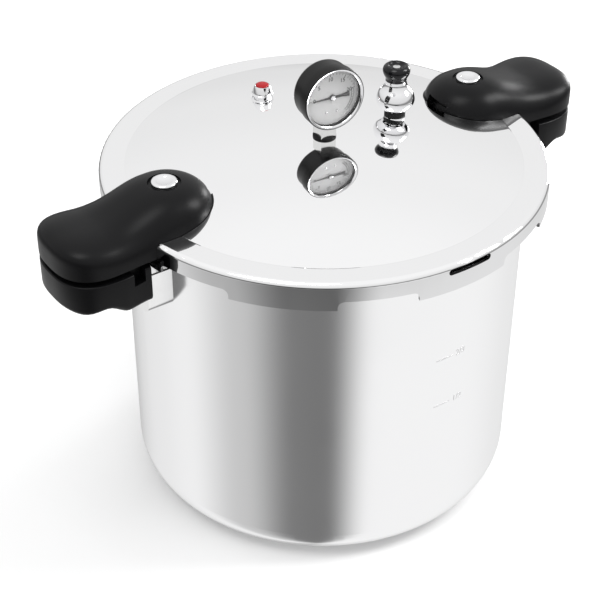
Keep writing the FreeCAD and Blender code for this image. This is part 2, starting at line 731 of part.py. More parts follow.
def make_lid_shell():
    body = new_body("lid_shell")
    inner_dome = "(dome_radius - lid_wall)"
    inner_crease = f"({CREASE} - 1)"
    round_in = "(lid_edge_round - lid_wall)"
    revolve(body, [
        ("0", f"{DOME_TOP} - lid_wall", inner_dome, -1),
        (inner_crease, f"{DOME_TOP} - dome_radius + sqrt({inner_dome} ^ 2 - {inner_crease} ^ 2)"),
        (inner_crease, LID_UNDER),
        (f"{SKIRT_INSIDE} - {round_in}", LID_UNDER, round_in, -1),
        (SKIRT_INSIDE, f"{LID_UNDER} - {round_in}"),
        (SKIRT_INSIDE, LID_LUG_TOP),
        (f"{RIM_BEAD} + 1", LID_LUG_TOP),
        (f"{RIM_BEAD} + 1", LID_LUG_BOTTOM),
        (SKIRT_INSIDE, LID_LUG_BOTTOM),
        (SKIRT_INSIDE, SKIRT_BOTTOM),
        (SKIRT, SKIRT_BOTTOM),
        (SKIRT, f"{LID_FLAT} - lid_edge_round", "lid_edge_round", 1),
        (f"{SKIRT} - lid_edge_round", LID_FLAT),
        (CREASE, LID_FLAT, "dome_radius", 1),
        ("0", DOME_TOP),
    ])
    gap = ring_sector(f"{RIM_BEAD} - 2", SKIRT_INSIDE, "lid_lug_gap_deg")
    lug_cut = outline(body, "XY_Plane", gap, level=f"{LID_LUG_TOP} + 0.1", turn=LUG_STEP / 2)
    around(body, pocket(body, lug_cut, "lid_lug_thick + 2"), "lug_count")
    half = f"({SKIRT} * sin(skirt_notch_deg * 0.5 deg))"
    top = f"({LID_FLAT} - skirt_notch_drop)"
    bend = "skirt_notch_round"
    arch = [
        (half, f"{SKIRT_BOTTOM} - 2"),
        (half, f"{top} - {bend}", bend, 1),
        (f"{half} - {bend}", top),
        (f"{bend} - {half}", top, bend, 1),
        (f"-{half}", f"{top} - {bend}"),
        (f"-{half}", f"{SKIRT_BOTTOM} - 2"),
    ]
    notch = outline(body, "YZ_Plane", arch, turn=LUG_STEP / 2)
    around(body, pocket(body, notch, f"{SKIRT} + 5", outwards=True), "lug_count")
    window_top = f"({LID_FLAT} - window_drop)"
    window_low = f"({window_top} - window_height)"
    end = "(window_height / 2)"
    reach = f"(window_length / 2 - {end})"
    slot = [
        (f"window_shift - {reach}", window_low),
        (f"window_shift + {reach}", window_low, f"{end} * 1.0001", 1),
        (f"window_shift + {reach}", window_top),
        (f"window_shift - {reach}", window_top, f"{end} * 1.0001", 1),
    ]
    pocket(body, outline(body, "XZ_Plane", slot), f"{SKIRT} + 5", outwards=True)
    # Level bosses, each as its place, radius, top and underside.
    stud_under = f"{dome_level(SCREW_PLACE)} - lid_wall"
    seats = (
        ("vent_place", "0", "washer_radius + 0.5", VENT_SEAT, VENT_UNDER),
        ("0", "valve_place", "washer_radius + 0.5", VALVE_SEAT, VALVE_UNDER),
        (SCREW_PLACE, "0", "stud_radius + 3", STUD_SEAT, stud_under),
        (f"-{SCREW_PLACE}", "0", "stud_radius + 3", STUD_SEAT, stud_under),
    )
    for x, y, radius, top_level, low_level in seats:
        pad(body, circles(body, "XY_Plane", [(x, y, radius)], level=low_level), f"{top_level} - {low_level}")
    holes = [
        ("vent_place", "0", "vent_stem_radius + thread_play"),
        ("0", "valve_place", "valve_stem_radius + thread_play"),
        ("0", "0", "socket_stem_radius + thread_play"),
    ]
    pocket(body, circles(body, "XY_Plane", holes, level=f"{DOME_TOP} + 5"))


def make_gasket():
    outer = f"({SKIRT_INSIDE} - gasket_side_gap)"
    inner = f"({outer} - gasket_width)"
    turned("sealing_gasket", [
        (inner, "0"),
        (f"{outer} - 1", "0"),
        (outer, "1"),
        (outer, "gasket_thick - 1"),
        (f"{outer} - 1", "gasket_thick"),
        (inner, "gasket_thick"),
        (inner, "gasket_thick - 1.6"),
        (f"{inner} + 2.2", "gasket_thick / 2"),
        (inner, "1.6"),
    ], z="pot_height + seal_gap")


def make_lid_handle(side):
    body = new_body("lid_handle_" + side)
    nose_touch, corner_touch, corner_y, _ = grip_corners()
    nose_x, nose_y = nose_touch
    plan = [
        (nose_x, nose_y, "nose_radius", 1),
        (f"{SCREW_PLACE} - nose_radius", "0", "nose_radius", 1),
        (nose_x, f"-{nose_y}", "waist_radius", -1),
    ] + grip_end(corner_touch, corner_y)
    pad(body, outline(body, "XY_Plane", plan, level=HANDLE_BOTTOM), f"{HANDLE_TOP} - {HANDLE_BOTTOM}")
    flat_end = f"({SCREW_PLACE} + lid_handle_flat)"
    slope_radius = "(lid_handle_slope ^ 2 + lid_handle_dip ^ 2) / (4 * lid_handle_dip)"
    over = f"({HANDLE_TOP} + 5)"
    above = [
        (flat_end, HANDLE_TOP, slope_radius, -1),
        (f"{flat_end} + lid_handle_slope / 2", f"{HANDLE_TOP} - lid_handle_dip / 2", slope_radius, 1),
        (f"{flat_end} + lid_handle_slope", f"{HANDLE_TOP} - lid_handle_dip"),
        (f"{HANDLE_REACH} + 2", f"{HANDLE_TOP} - lid_handle_dip"),
        (f"{HANDLE_REACH} + 2", over),
        (flat_end, over),
    ]
    pocket(body, outline(body, "XZ_Plane", above), "4 * grip_half", both_ways=True)
    level = value(f"{HANDLE_TOP} - lid_handle_dip") - 0.1

    def upper_rim(edge):
        box = edge.BoundBox
        spans = box.XLength < 0.01 and box.YLength > value("nose_radius")
        crosses = spans and box.XMax < value(HANDLE_REACH) - 1
        return box.ZMin > level and not crosses
    round_edges(body, "lid_handle_round", upper_rim)
    seat = "handle_seat_gap"
    groove(body, [
        ("0", f"{HANDLE_BOTTOM} - 5"),
        (f"{SKIRT} + {seat}", f"{HANDLE_BOTTOM} - 5"),
        (f"{SKIRT} + {seat}", f"{LID_FLAT} - lid_edge_round", f"lid_edge_round + {seat}", 1),
        (f"{SKIRT} - lid_edge_round", f"{LID_FLAT} + {seat}"),
        (CREASE, f"{LID_FLAT} + {seat}", f"dome_radius + {seat}", 1),
        ("0", f"{DOME_TOP} + {seat}"),
    ])
    above_top = f"{HANDLE_TOP} + 1"
    recess = [(SCREW_PLACE, "0", "cap_radius + cap_recess_play")]
    recess_depth = "cap_height - cap_proud + 1 + contact_gap"
    pocket(body, circles(body, "XY_Plane", recess, level=above_top), recess_depth)
    bore = [(SCREW_PLACE, "0", "stud_radius + 0.3")]
    pocket(body, circles(body, "XY_Plane", bore, level=above_top))
    skirt = [(SCREW_PLACE, "0", "stud_radius + 3.5")]
    pocket(body, circles(body, "XY_Plane", skirt, level=f"{STUD_SEAT} + 2"))
    nose_tip = f"({SCREW_PLACE} - nose_radius)"
    tip_level = dome_level(nose_tip)
    half = "relief_width / 2"
    relief = rectangle(f"-{half}", f"{tip_level} - 5", half, f"{tip_level} + relief_height")
    sketch = outline(body, "YZ_Plane", relief, level=f"{nose_tip} + relief_depth")
    pocket(body, sketch, "relief_depth + 2")
    half_turn(body, side)


def make_lid_stud(side):
    """The threaded post on the lid that a cap screw goes into."""
    sign = "-1" if side == "left" else "1"
    hole = "(cap_screw_radius + thread_play / 2)"
    turned("lid_handle_stud_" + side, [
        ("0", "contact_gap"),
        ("stud_radius + 2", "contact_gap"),
        ("stud_radius + 2", "0.4"),
        ("stud_radius", "1.5"),
        ("stud_radius", "stud_height"),
        (hole, "stud_height"),
        (hole, "stud_height - cap_screw_length"),
        ("0", "stud_height - cap_screw_length"),
    ], x=f"{sign} * {SCREW_PLACE}", z=STUD_SEAT)


def make_cap_screw(side):
    sign = "-1" if side == "left" else "1"
    turned("lid_cap_screw_" + side, [
        ("0", "-cap_screw_length + 3"),
        ("cap_screw_radius", "-cap_screw_length + 3"),
        ("cap_screw_radius", "0"),
        ("cap_radius", "0"),
        ("cap_radius", "cap_height - 1"),
        ("cap_radius - 1", "cap_height"),
        ("cap_radius - 3", "cap_height - 0.1"),
        ("0", "cap_height - 0.7"),
    ], x=f"{sign} * {SCREW_PLACE}", z=f"{CAP_UNDER} + contact_gap")


# --------------------------------------------------------------------------------------------------
# Vent pipe and weight
# --------------------------------------------------------------------------------------------------

def make_vent_pipe():
    turned("vent_pipe", [
        ("vent_pipe_bore", "-vent_stem_drop"),
        ("vent_stem_radius", "-vent_stem_drop"),
        ("vent_stem_radius", "contact_gap"),
        ("vent_flange_radius", "contact_gap"),
        ("vent_flange_radius", "vent_flange_height - 0.6"),
        ("vent_flange_radius - 0.6", "vent_flange_height"),
        ("vent_pipe_radius + 1", "vent_flange_height"),
        ("vent_pipe_radius", "vent_flange_height + 2"),
        ("vent_pipe_radius", "vent_pipe_height - 1.2"),
        ("vent_pipe_bore + 0.5", "vent_pipe_height"),
        ("vent_pipe_bore", "vent_pipe_height"),
    ], x="vent_place", z=VENT_SEAT)
    hex_nut("vent_pipe_nut", "vent_stem_radius + thread_play / 2", "vent_place", "0",
            f"{VENT_UNDER} - washer_thick - 0.1")
    washer("vent_pipe_washer", "vent_stem_radius + thread_play / 2", "vent_place", "0",
           f"{VENT_UNDER} - washer_thick - 0.05")


WEIGHT_FOOT = f"({VENT_SEAT} + weight_gap)"
WEIGHT_TOP = f"({WEIGHT_FOOT} + weight_height)"


def make_weight():
    bore = "(vent_pipe_radius + weight_bore_play)"
    bore_top = "(vent_pipe_height - weight_gap + weight_seat_gap)"
    weight = turned("regulator_weight", [
        (bore, "0"),
        ("weight_radius - 5.2", "0"),
        ("weight_radius - 1.6", "3.2"),
        ("weight_radius", "6.4"),
        ("weight_radius", "9.6"),
        ("weight_radius - 1.4", "14"),
        ("weight_top_radius + 1.2", "18.5"),
        ("weight_top_radius", "21.5"),
        ("weight_top_radius", "weight_height"),
        ("knob_screw_radius", "weight_height"),
        ("knob_screw_radius", "weight_height - 7"),
        ("0", "weight_height - 7"),
        ("0", bore_top),
        (bore, bore_top),
    ], x="vent_place", z=WEIGHT_FOOT)
    port = circles(weight, "YZ_Plane", [("0", "weight_port_level", "weight_port_radius")],
                   level="weight_radius - 3 - weight_port_depth", turn=45.0)
    around(weight, pocket(weight, port, "weight_port_depth + 5", outwards=True), "weight_port_count")
    turned("regulator_knob", [
        ("knob_screw_radius + contact_gap", "0"),
        ("knob_foot_radius", "0"),
        ("knob_foot_radius", "2"),
        ("knob_radius - 0.4", "6"),
        ("knob_radius", "8.5"),
        ("knob_radius - 1.2", "knob_height - 1.2"),
        ("knob_radius - 3", "knob_height"),
        ("knob_radius - 4.5", "knob_height - 0.8"),
        ("knob_screw_radius * 2", "knob_height - knob_dish"),
        ("knob_screw_radius + contact_gap", "knob_height - knob_dish"),
    ], x="vent_place", z=f"{WEIGHT_TOP} + contact_gap")
    turned("regulator_knob_screw", [
        ("0", "-6.5"),
        ("knob_screw_radius - 0.05", "-6.5"),
        ("knob_screw_radius - 0.05", "knob_height - knob_dish + contact_gap"),
        ("knob_screw_radius * 1.8", "knob_height - knob_dish + contact_gap"),
        ("knob_screw_radius * 1.8", "knob_height - knob_dish + 0.6"),
        ("0", "knob_height - knob_dish + 1"),
    ], x="vent_place", z=f"{WEIGHT_TOP} + contact_gap")


# --------------------------------------------------------------------------------------------------
# Air vent
# --------------------------------------------------------------------------------------------------

def make_air_vent():
    bore = "(pin_radius + pin_play)"
    turned("air_vent_housing", [
        (bore, "-valve_stem_drop"),
        ("valve_stem_radius", "-valve_stem_drop"),
        ("valve_stem_radius", "contact_gap"),
        ("valve_radius - 1.5", "contact_gap"),
        ("valve_radius - 1.5", "1.4"),
        ("valve_radius", "2"),
        ("valve_radius", "2.8"),
        ("valve_radius - 1", "3.4"),
        ("valve_radius - 1.3", "valve_height - 2.4"),
        ("valve_radius - 2.1", "valve_height"),
        ("valve_bore", "valve_height"),
        ("valve_bore", "valve_height - 2.6"),
        (bore, "valve_height - 2.6"),
    ], y="valve_place", z=VALVE_SEAT)
    washer("air_vent_seal", "valve_stem_radius + thread_play / 2", "0", "valve_place",
           f"{VALVE_UNDER} - washer_thick - 0.05")
    hex_nut("air_vent_nut", "valve_stem_radius + thread_play / 2", "0", "valve_place",
            f"{VALVE_UNDER} - washer_thick - 0.1")
    clip_level = "(-valve_stem_drop - pin_travel - 0.6)"
    turned("float_pin", [
        ("0", f"{clip_level} - 3"),
        ("pin_radius", f"{clip_level} - 3"),
        ("pin_radius", f"{clip_level}"),
        ("pin_radius - 0.5", f"{clip_level}"),
        ("pin_radius - 0.5", f"{clip_level} + 0.4"),
        ("pin_radius", f"{clip_level} + 0.4"),
        ("pin_radius", "valve_height - 2.4"),
        ("0", "valve_height - 2.4"),
    ], y="valve_place", z=VALVE_SEAT)
    turned("float_pin_clip", [
        ("pin_radius - 0.45", f"{clip_level} + contact_gap"),
        ("pin_radius + 2.2", f"{clip_level} + contact_gap"),
        ("pin_radius + 2.2", f"{clip_level} + 0.35"),
        ("pin_radius - 0.45", f"{clip_level} + 0.35"),
    ], y="valve_place", z=VALVE_SEAT)
    turned("float_button", [
        ("0", "valve_height - 2.35"),
        ("button_radius", "valve_height - 2.35"),
        ("button_radius", "valve_height + 0.3"),
        ("button_radius - 0.8", "valve_height + 0.9"),
        ("button_radius * 0.5", "valve_height + 1.2"),
        ("0", "valve_height + 1.3"),
    ], y="valve_place", z=VALVE_SEAT)


# --------------------------------------------------------------------------------------------------
# Gauge. Its pieces are drawn with Z out of the dial, X to the dial's right and Y up.
# --------------------------------------------------------------------------------------------------

FACE = FreeCAD.Rotation(FreeCAD.Vector(0, 0, 1), SIZES["gauge_turn"]) * FreeCAD.Rotation(
    FreeCAD.Vector(1, 0, 0), 90)
GEAR_DISTANCE = "(gear_module * (pinion_teeth + sector_teeth) / 2)"
TUBE_ROOT = -79.0
TUBE_SWEEP = 245.0


def face_place(item):
    """Stand a piece that is drawn flat up behind the dial."""
    item.Placement = FreeCAD.Placement(FreeCAD.Vector(0, 0, value(GAUGE_CENTRE)), FACE)
    bind(item, Placement__Base__z=GAUGE_CENTRE)


def dial_turned(node, points, angle=360.0):
    body = new_body(node)
    revolve(body, points, angle)
    face_place(body)
    return body


def make_gauge_case():
    body = dial_turned("gauge_case", [
        ("0", "-case_back"),
        ("case_radius - case_corner", "-case_back", "case_corner", 1),
        ("case_radius", "case_corner - case_back"),
        ("case_radius", "case_front"),
        ("case_radius - case_wall", "case_front"),
        ("case_radius - case_wall", "case_corner - case_back", "case_corner - case_wall", -1),
        ("case_radius - case_corner", "case_wall - case_back"),
        ("0", "case_wall - case_back"),
    ])
    hole = circles(body, "XZ_Plane", [("0", "0", "socket_neck_radius + thread_play")])
    pocket(body, hole, "case_radius + 5", outwards=True)
    dial_turned("gauge_bezel", [
        ("case_radius + contact_gap", "bezel_skirt"),
        ("case_radius + bezel_thick", "bezel_skirt"),
        ("case_radius + bezel_thick", f"{BEZEL_FRONT} - 1"),
        ("case_radius + bezel_thick - 1", BEZEL_FRONT),
        ("case_radius - 2.4", BEZEL_FRONT),
        ("case_radius - 1.8", f"{BEZEL_FRONT} - bezel_lip"),
        ("case_radius + contact_gap", f"{BEZEL_FRONT} - bezel_lip"),
    ])
    lens_back = "(case_front + contact_gap + lens_gasket_thick)"
    dial_turned("gauge_lens", [
        ("0", f"{lens_back} + contact_gap"),
        ("case_radius - 0.3", f"{lens_back} + contact_gap"),
        ("case_radius - 0.3", f"{lens_back} + lens_thick"),
        ("0", f"{lens_back} + lens_thick"),
    ])
    dial_turned("gauge_lens_gasket", [
        ("case_radius - case_wall - 0.8", "case_front + contact_gap"),
        ("case_radius - 0.1", "case_front + contact_gap"),
        ("case_radius - 0.1", lens_back),
        ("case_radius - case_wall - 0.8", lens_back),
    ])


def make_dial():
    body = new_body("gauge_dial")
    rings = [("0", "0", "case_radius - case_wall - dial_play"), ("0", "0", "arbor_radius + 0.7")]
    pad(body, circles(body, "XY_Plane", rings, level=DIAL_BACK), "dial_thick")
    face_place(body)


def make_socket():
    """The square block, its threaded stem below and its neck above, all one brass piece."""
    body = new_body("gauge_socket")
    half = "socket_square / 2"
    pad(body, outline(body, "XY_Plane", rectangle(f"-{half}", f"-{half}", half, half)), "socket_height")
    neck = circles(body, "XY_Plane", [("0", "0", "socket_neck_radius")])
    pad(body, neck, f"{GAUGE_RISE} - washer_thick - {TUBE_PATH}")
    stem = circles(body, "XY_Plane", [("0", "0", "socket_stem_radius")])
    pad(body, stem, "socket_stem_drop", downwards=True)
    port = circles(body, "XY_Plane", [("0", "0", "tube_radius")], level="-socket_stem_drop - 1")
    pocket(body, port, "socket_stem_drop + 4", outwards=True)
    spin = FreeCAD.Rotation(FreeCAD.Vector(0, 0, 1), value("gauge_turn"))
    body.Placement = FreeCAD.Placement(FreeCAD.Vector(), spin)
    bind(body, Placement__Base__z=f"{DOME_TOP} + washer_thick + contact_gap")
    washer("gauge_washer", "socket_stem_radius + thread_play / 2", "0", "0", f"{DOME_TOP} + 0.02")
    hex_nut("gauge_nut", "socket_stem_radius + thread_play / 2", "0", "0", f"{DOME_TOP} - lid_wall - 0.2")


def bent_round(node, rings, start, sweep):
    """A piece swept about the dial's axis from one angle on; the dial's right is 0 and up is 90."""
    body = new_body(node)
    section = circles(body, "XZ_Plane", rings)
    bend = body.newObject("PartDesign::Revolution", "Bend")
    bend.Profile = section
    bend.ReferenceAxis = (section, ["V_Axis"])
    bend.Angle = sweep
    turn = FreeCAD.Rotation(FreeCAD.Vector(0, 0, 1), start)
    body.Placement = FreeCAD.Placement(FreeCAD.Vector(0, 0, value(GAUGE_CENTRE)), FACE * turn)
    bind(body, Placement__Base__z=GAUGE_CENTRE)


def make_bourdon_tube():
    """A tube bent round most of a circle, its root soldered into the socket's neck and its tip closed."""
    path = (TUBE_PATH, "-tube_back")
    walls = [(*path, "tube_radius"), (*path, "tube_radius * 0.7")]
    bent_round("bourdon_tube", walls, TUBE_ROOT, TUBE_SWEEP)
    bent_round("bourdon_tip", [(*path, "tube_radius + 0.3")], TUBE_ROOT + TUBE_SWEEP + 0.1, 8.0)


def make_movement_plates():
    foot = f"(-{GEAR_DISTANCE} - 2.5)"
    neck = f"(contact_gap - {TUBE_PATH})"
    front = rectangle("-6", foot, "6", "6")
    rear = [("-6", foot), ("-2", foot), ("-2", neck), ("2", neck)]
    rear += [("2", foot), ("6", foot), ("6", "6"), ("-6", "6")]
    pivot = "arbor_radius + arbor_play"
    holes = [("0", "0", pivot), ("0", f"-{GEAR_DISTANCE}", pivot)]
    for node, corners, level in (("movement_rear_plate", rear, "plate_rear"),
                                 ("movement_front_plate", front, "plate_front")):
        body = new_body(node)
        pad(body, outline(body, "XY_Plane", corners, level=level), "plate_thick")
        sketch = circles(body, "XY_Plane", holes, level=f"{level} + plate_thick + 1")
        pocket(body, sketch, "plate_thick + 2")
        face_place(body)
    inside = "(plate_front - plate_rear - plate_thick)"
    rear_face = value("plate_rear + plate_thick")
    solids = [Part.makeCylinder(0.7, value(inside), FreeCAD.Vector(x, 5, rear_face)) for x in (-5, 5)]
    feature = doc.addObject("Part::Feature", "Posts")
    feature.Shape = Part.makeCompound(solids)
    face_place(feature)
    finish(feature, "movement_pillars")


def gear_face(teeth, module, first, count):
    """A gear's outline, with straight-sided teeth that are thinner than their gaps."""
    pitch_radius = module * teeth / 2
    tip = pitch_radius + 0.75 * module
    root = pitch_radius - 1.15 * module
    step = 2 * math.pi / teeth
    corners = []
    for index in range(count):
        middle = first + index * step
        for radius, part_of_step in ((root, -0.24), (tip, -0.09), (tip, 0.09), (root, 0.24)):
            angle = middle + part_of_step * step
            corners.append(FreeCAD.Vector(radius * math.cos(angle), radius * math.sin(angle), 0))
    return corners


def raised(corners, height):
    """A flat outline of straight runs drawn up to a height."""
    return Part.Face(Part.makePolygon(corners + corners[:1])).extrude(FreeCAD.Vector(0, 0, height))


def make_gears():
    module = value("gear_module")
    teeth = int(value("pinion_teeth"))
    upwards = math.pi / 2
    tooth_step = 2 * math.pi / teeth
    corners = gear_face(teeth, module, -upwards + tooth_step / 2, teeth)
    pinion = raised(corners, value("gear_thick"))
    pinion.translate(FreeCAD.Vector(0, 0, value("gear_level")))
    low = value("plate_rear")
    shaft = Part.makeCylinder(value("arbor_radius"), value(f"{POINTER_BACK} + pointer_thick") + 0.4 - low,
                              FreeCAD.Vector(0, 0, low))
    arbor = doc.addObject("Part::Feature", "Arbor")
    arbor.Shape = pinion.fuse(shaft).removeSplitter()
    face_place(arbor)
    finish(arbor, "pointer_arbor")

    # At rest one sector tooth points up into the pinion, and those to its right come round as pressure rises.
    sector_count = 9
    sector_step = 2 * math.pi / value("sector_teeth")
    pivot_drop = FreeCAD.Vector(0, -value(GEAR_DISTANCE), 0)
    rim = gear_face(int(value("sector_teeth")), module, upwards - 7 * sector_step, sector_count)
    hub = [FreeCAD.Vector(-1.8, 0.6, 0), FreeCAD.Vector(-1.4, -1.6, 0), FreeCAD.Vector(1.4, -1.6, 0),
           FreeCAD.Vector(1.8, 0, 0)]
    level = FreeCAD.Vector(0, 0, value("gear_level") + 0.15)
    corners = [corner + pivot_drop + level for corner in rim + hub]
    web = raised(corners, value("gear_thick") - 0.3)
    height = value("plate_front + plate_thick - plate_rear")
    pivot = Part.makeCylinder(value("arbor_radius"), height, pivot_drop + FreeCAD.Vector(0, 0, low))
    feature = doc.addObject("Part::Feature", "Sector")
    feature.Shape = web.fuse(pivot).removeSplitter()
    face_place(feature)
    finish(feature, "sector_gear")


def make_hairspring():
    """A flat spiral strip round the arbor, between the pinion and the front plate."""
    turns, steps, half_strip = 3, 24, 0.06
    start, end = 1.4, 3.9
    middle = [start + (end - start) * k / (turns * steps) for k in range(turns * steps + 1)]
    edge = []
    for offset, order in ((half_strip, 1), (-half_strip, -1)):
        for k in list(range(turns * steps + 1))[::order]:
            angle = 2 * math.pi * k / steps
            radius = middle[k] + offset
            height = value("spring_level")
            edge.append(FreeCAD.Vector(radius * math.cos(angle), radius * math.sin(angle), height))
    feature = doc.addObject("Part::Feature", "Spring")
    feature.Shape = raised(edge, value("spring_width"))
    face_place(feature)
    finish(feature, "hairspring")


def make_pointer():
    """The blade points left at no pressure, with a broad tail on the other side of the hub."""
    body = new_body("gauge_pointer")
    blade = [
        ("-pointer_reach", "-0.2"),
        ("-2", "-0.8"),
        ("2", "-0.9"),
        ("pointer_tail * 0.6", "-1.1"),
        ("pointer_tail", "-1.9"),
        ("pointer_tail", "1.9"),
        ("pointer_tail * 0.6", "1.1"),
        ("2", "0.9"),
        ("-2", "0.8"),
        ("-pointer_reach", "0.2"),
    ]
    pad(body, outline(body, "XY_Plane", blade, level=POINTER_BACK), "pointer_thick")
    pad(body, circles(body, "XY_Plane", [("0", "0", "2.4")], level=POINTER_BACK), "pointer_thick + 0.6")
    bore = [("0", "0", "arbor_radius + 0.01")]
    pocket(body, circles(body, "XY_Plane", bore, level=f"{POINTER_BACK} + 5"))
    face_place(body)


# --------------------------------------------------------------------------------------------------
# Build, check, export
# --------------------------------------------------------------------------------------------------

def build_all():
    make_pot_shell()
    make_rack()
    for side in ("left", "right"):
        make_pot_handle(side)
        make_bracket(side)
        make_rivets(side)
        make_handle_screws(side)
    make_lid_shell()
    make_gasket()
    for side in ("left", "right"):
        make_lid_handle(side)
        make_lid_stud(side)
        make_cap_screw(side)
    make_vent_pipe()
    make_weight()
    make_air_vent()
    make_gauge_case()
    make_dial()
    make_socket()
    make_bourdon_tube()
    make_movement_plates()
    make_gears()
    make_hairspring()
    make_pointer()


def check_all():
    """Stop on any failed feature, and on any piece with no shape or a bad one."""
    for item in doc.Objects:
        if "Invalid" in item.State or "Error" in item.State:
            raise RuntimeError(f"{item.Name} ({item.Label}) failed: {item.State}")
    for node, item in pieces.items():
        if item.Shape.isNull() or not item.Shape.isValid() or not item.Shape.Solids:
            raise RuntimeError(f"{node} has no valid shape")


build_all()
doc.recompute()
check_all()
os.makedirs("parts", exist_ok=True)
for node, item in pieces.items():
    item.Shape.exportStep(f"parts/{node}.step")
    print(f"{node}: {len(item.Shape.Solids)} solid, {item.Shape.Volume / 1000:.2f} cm3")
print(f"{len(pieces)} pieces")
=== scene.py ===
# %% [markdown]
# # A polished pressure canner
# The imported CAD model is the fixed frame: it says where every piece is and what moves. This script gives
# each piece its visible finish and adds what is printed or pressed on it. It starts with the frame, because
# the places and many of the sizes below are read from it.

import json
import math

import bmesh
import bpy
from mathutils import Matrix, Vector


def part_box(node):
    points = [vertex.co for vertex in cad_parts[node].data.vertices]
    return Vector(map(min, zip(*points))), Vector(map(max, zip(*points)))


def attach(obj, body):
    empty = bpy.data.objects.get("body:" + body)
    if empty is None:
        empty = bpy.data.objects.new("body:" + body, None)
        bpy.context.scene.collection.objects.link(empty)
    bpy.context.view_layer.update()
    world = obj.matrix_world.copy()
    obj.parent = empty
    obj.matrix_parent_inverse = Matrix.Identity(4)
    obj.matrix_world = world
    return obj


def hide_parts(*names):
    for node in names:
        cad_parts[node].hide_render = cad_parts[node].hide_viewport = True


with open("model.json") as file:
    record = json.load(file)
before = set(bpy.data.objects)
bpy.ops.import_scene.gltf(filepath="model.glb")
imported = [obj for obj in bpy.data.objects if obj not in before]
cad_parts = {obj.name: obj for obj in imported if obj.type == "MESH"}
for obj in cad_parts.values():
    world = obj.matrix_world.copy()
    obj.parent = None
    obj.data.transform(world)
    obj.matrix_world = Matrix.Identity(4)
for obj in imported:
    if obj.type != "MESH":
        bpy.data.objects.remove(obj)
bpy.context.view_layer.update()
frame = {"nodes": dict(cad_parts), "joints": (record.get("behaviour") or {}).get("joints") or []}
MM = 0.001

# %% [markdown]
# ## Camera
# A product view uses a long lens from well above the lid, so that the round rim is a wide ellipse and the
# pot's sides still read as straight. The camera looks along one fixed direction at a point near the pot's
# axis, a little below the middle of its height.

# %% Camera
AIM = Vector((-0.0151, 0.0104, 0.1418))
VIEW_DIRECTION = Vector((0.45960, 0.66496, -0.58873)).normalized()
CAMERA_DISTANCE = 1.2406
LENS_MM = 90.38
ROLL = math.radians(0.14)

camera_data = bpy.data.cameras.new("camera")
camera_data.lens = LENS_MM
camera_data.sensor_width = 36.0
camera_data.clip_end = 20.0
camera = bpy.data.objects.new("camera", camera_data)
bpy.context.scene.collection.objects.link(camera)
facing = VIEW_DIRECTION.to_track_quat("-Z", "Y").to_matrix().to_4x4()
camera.matrix_world = Matrix.Translation(AIM - VIEW_DIRECTION * CAMERA_DISTANCE) @ facing @ Matrix.Rotation(
    ROLL, 4, "Z")
bpy.context.scene.camera = camera
print("camera at", tuple(round(c, 3) for c in camera.location))

# %% [markdown]
# ## Studio
# Polished metal shows the room more than itself, so the room is designed first. It is a white cove: white
# above, and pale further down, with a dim skirting just under the horizon that draws the line under the
# lid's rim. One soft dark strip, on the side that the camera stands on, draws the tall grey band down the
# front of the pot. The strip belongs to the room, not to the metal, so it stays where it is when the pot is
# seen from another side. The floor is a plain pale sheet that polished surfaces don't reflect, so that they
# see the cove.

# %% Colours as they are measured
bpy.context.scene.view_settings.view_transform = "Standard"


def link_all(tree, pairs):
    """Join sockets, each pair from an output to an input."""
    for start, end in pairs:
        tree.links.new(start, end)


def add(tree, kind, **settings):
    """A new node with its plain settings and the default values of its numbered or named inputs."""
    node = tree.nodes.new(kind)
    inputs = settings.pop("inputs", {})
    for name, setting in settings.items():
        setattr(node, name, setting)
    for name, setting in inputs.items():
        node.inputs[name].default_value = setting
    return node


def ramp(tree, stops, interpolation="EASE"):
    """A colour ramp of grey stops, each (place, brightness)."""
    node = add(tree, "ShaderNodeValToRGB")
    node.color_ramp.interpolation = interpolation
    elements = node.color_ramp.elements
    while len(elements) < len(stops):
        elements.new(0.5)
    for element, (place, grey) in zip(elements, stops):
        element.position = place
        element.color = (grey, grey, grey, 1.0)
    return node


# %% The cove's light
# STRIP is brightness by degrees from the strip's bearing, CEILING by height, and SKIRTING by depth under the
# horizon; heights and depths are parts of a unit direction.
STRIP_BEARING = math.degrees(math.atan2(-VIEW_DIRECTION.y, -VIEW_DIRECTION.x))
STRIP = [(-180, 0.50), (-120, 0.86), (-88, 0.93), (-50, 0.60), (-16, 0.20), (3, 0.18), (30, 0.97), (90, 0.97),
         (150, 0.85), (180, 0.70)]
CEILING = [(0.00, 0.62), (0.10, 0.78), (0.30, 0.84), (0.62, 0.90), (0.85, 0.96), (1.00, 0.96)]
SKIRTING = [(0.00, 0.22), (0.30, 0.40), (0.46, 0.80), (0.56, 1.00), (1.00, 1.00)]

world = bpy.data.worlds.new("cove")
bpy.context.scene.world = world
world.use_nodes = True
tree = world.node_tree
tree.nodes.clear()
direction = add(tree, "ShaderNodeTexCoord")
split = add(tree, "ShaderNodeSeparateXYZ")
bearing = add(tree, "ShaderNodeMath", operation="ARCTAN2")
from_strip = add(tree, "ShaderNodeMath", operation="SUBTRACT", inputs={1: math.radians(STRIP_BEARING)})
wrapped = add(tree, "ShaderNodeMath", operation="WRAP", inputs={1: math.pi, 2: -math.pi})
share = add(tree, "ShaderNodeMapRange", inputs={"From Min": -math.pi, "From Max": math.pi})
strip = ramp(tree, [((angle + 180) / 360, grey) for angle, grey in STRIP])
depth = add(tree, "ShaderNodeMath", operation="MULTIPLY", inputs={1: -1.0})
skirting = ramp(tree, SKIRTING)
below = add(tree, "ShaderNodeMix", data_type="RGBA", blend_type="MULTIPLY", inputs={"Factor": 1.0})
ceiling = ramp(tree, CEILING)
HORIZON_LOW, HORIZON_HIGH = -0.08, 0.04
height = add(tree, "ShaderNodeMapRange", interpolation_type="SMOOTHSTEP",
             inputs={"From Min": HORIZON_LOW, "From Max": HORIZON_HIGH})
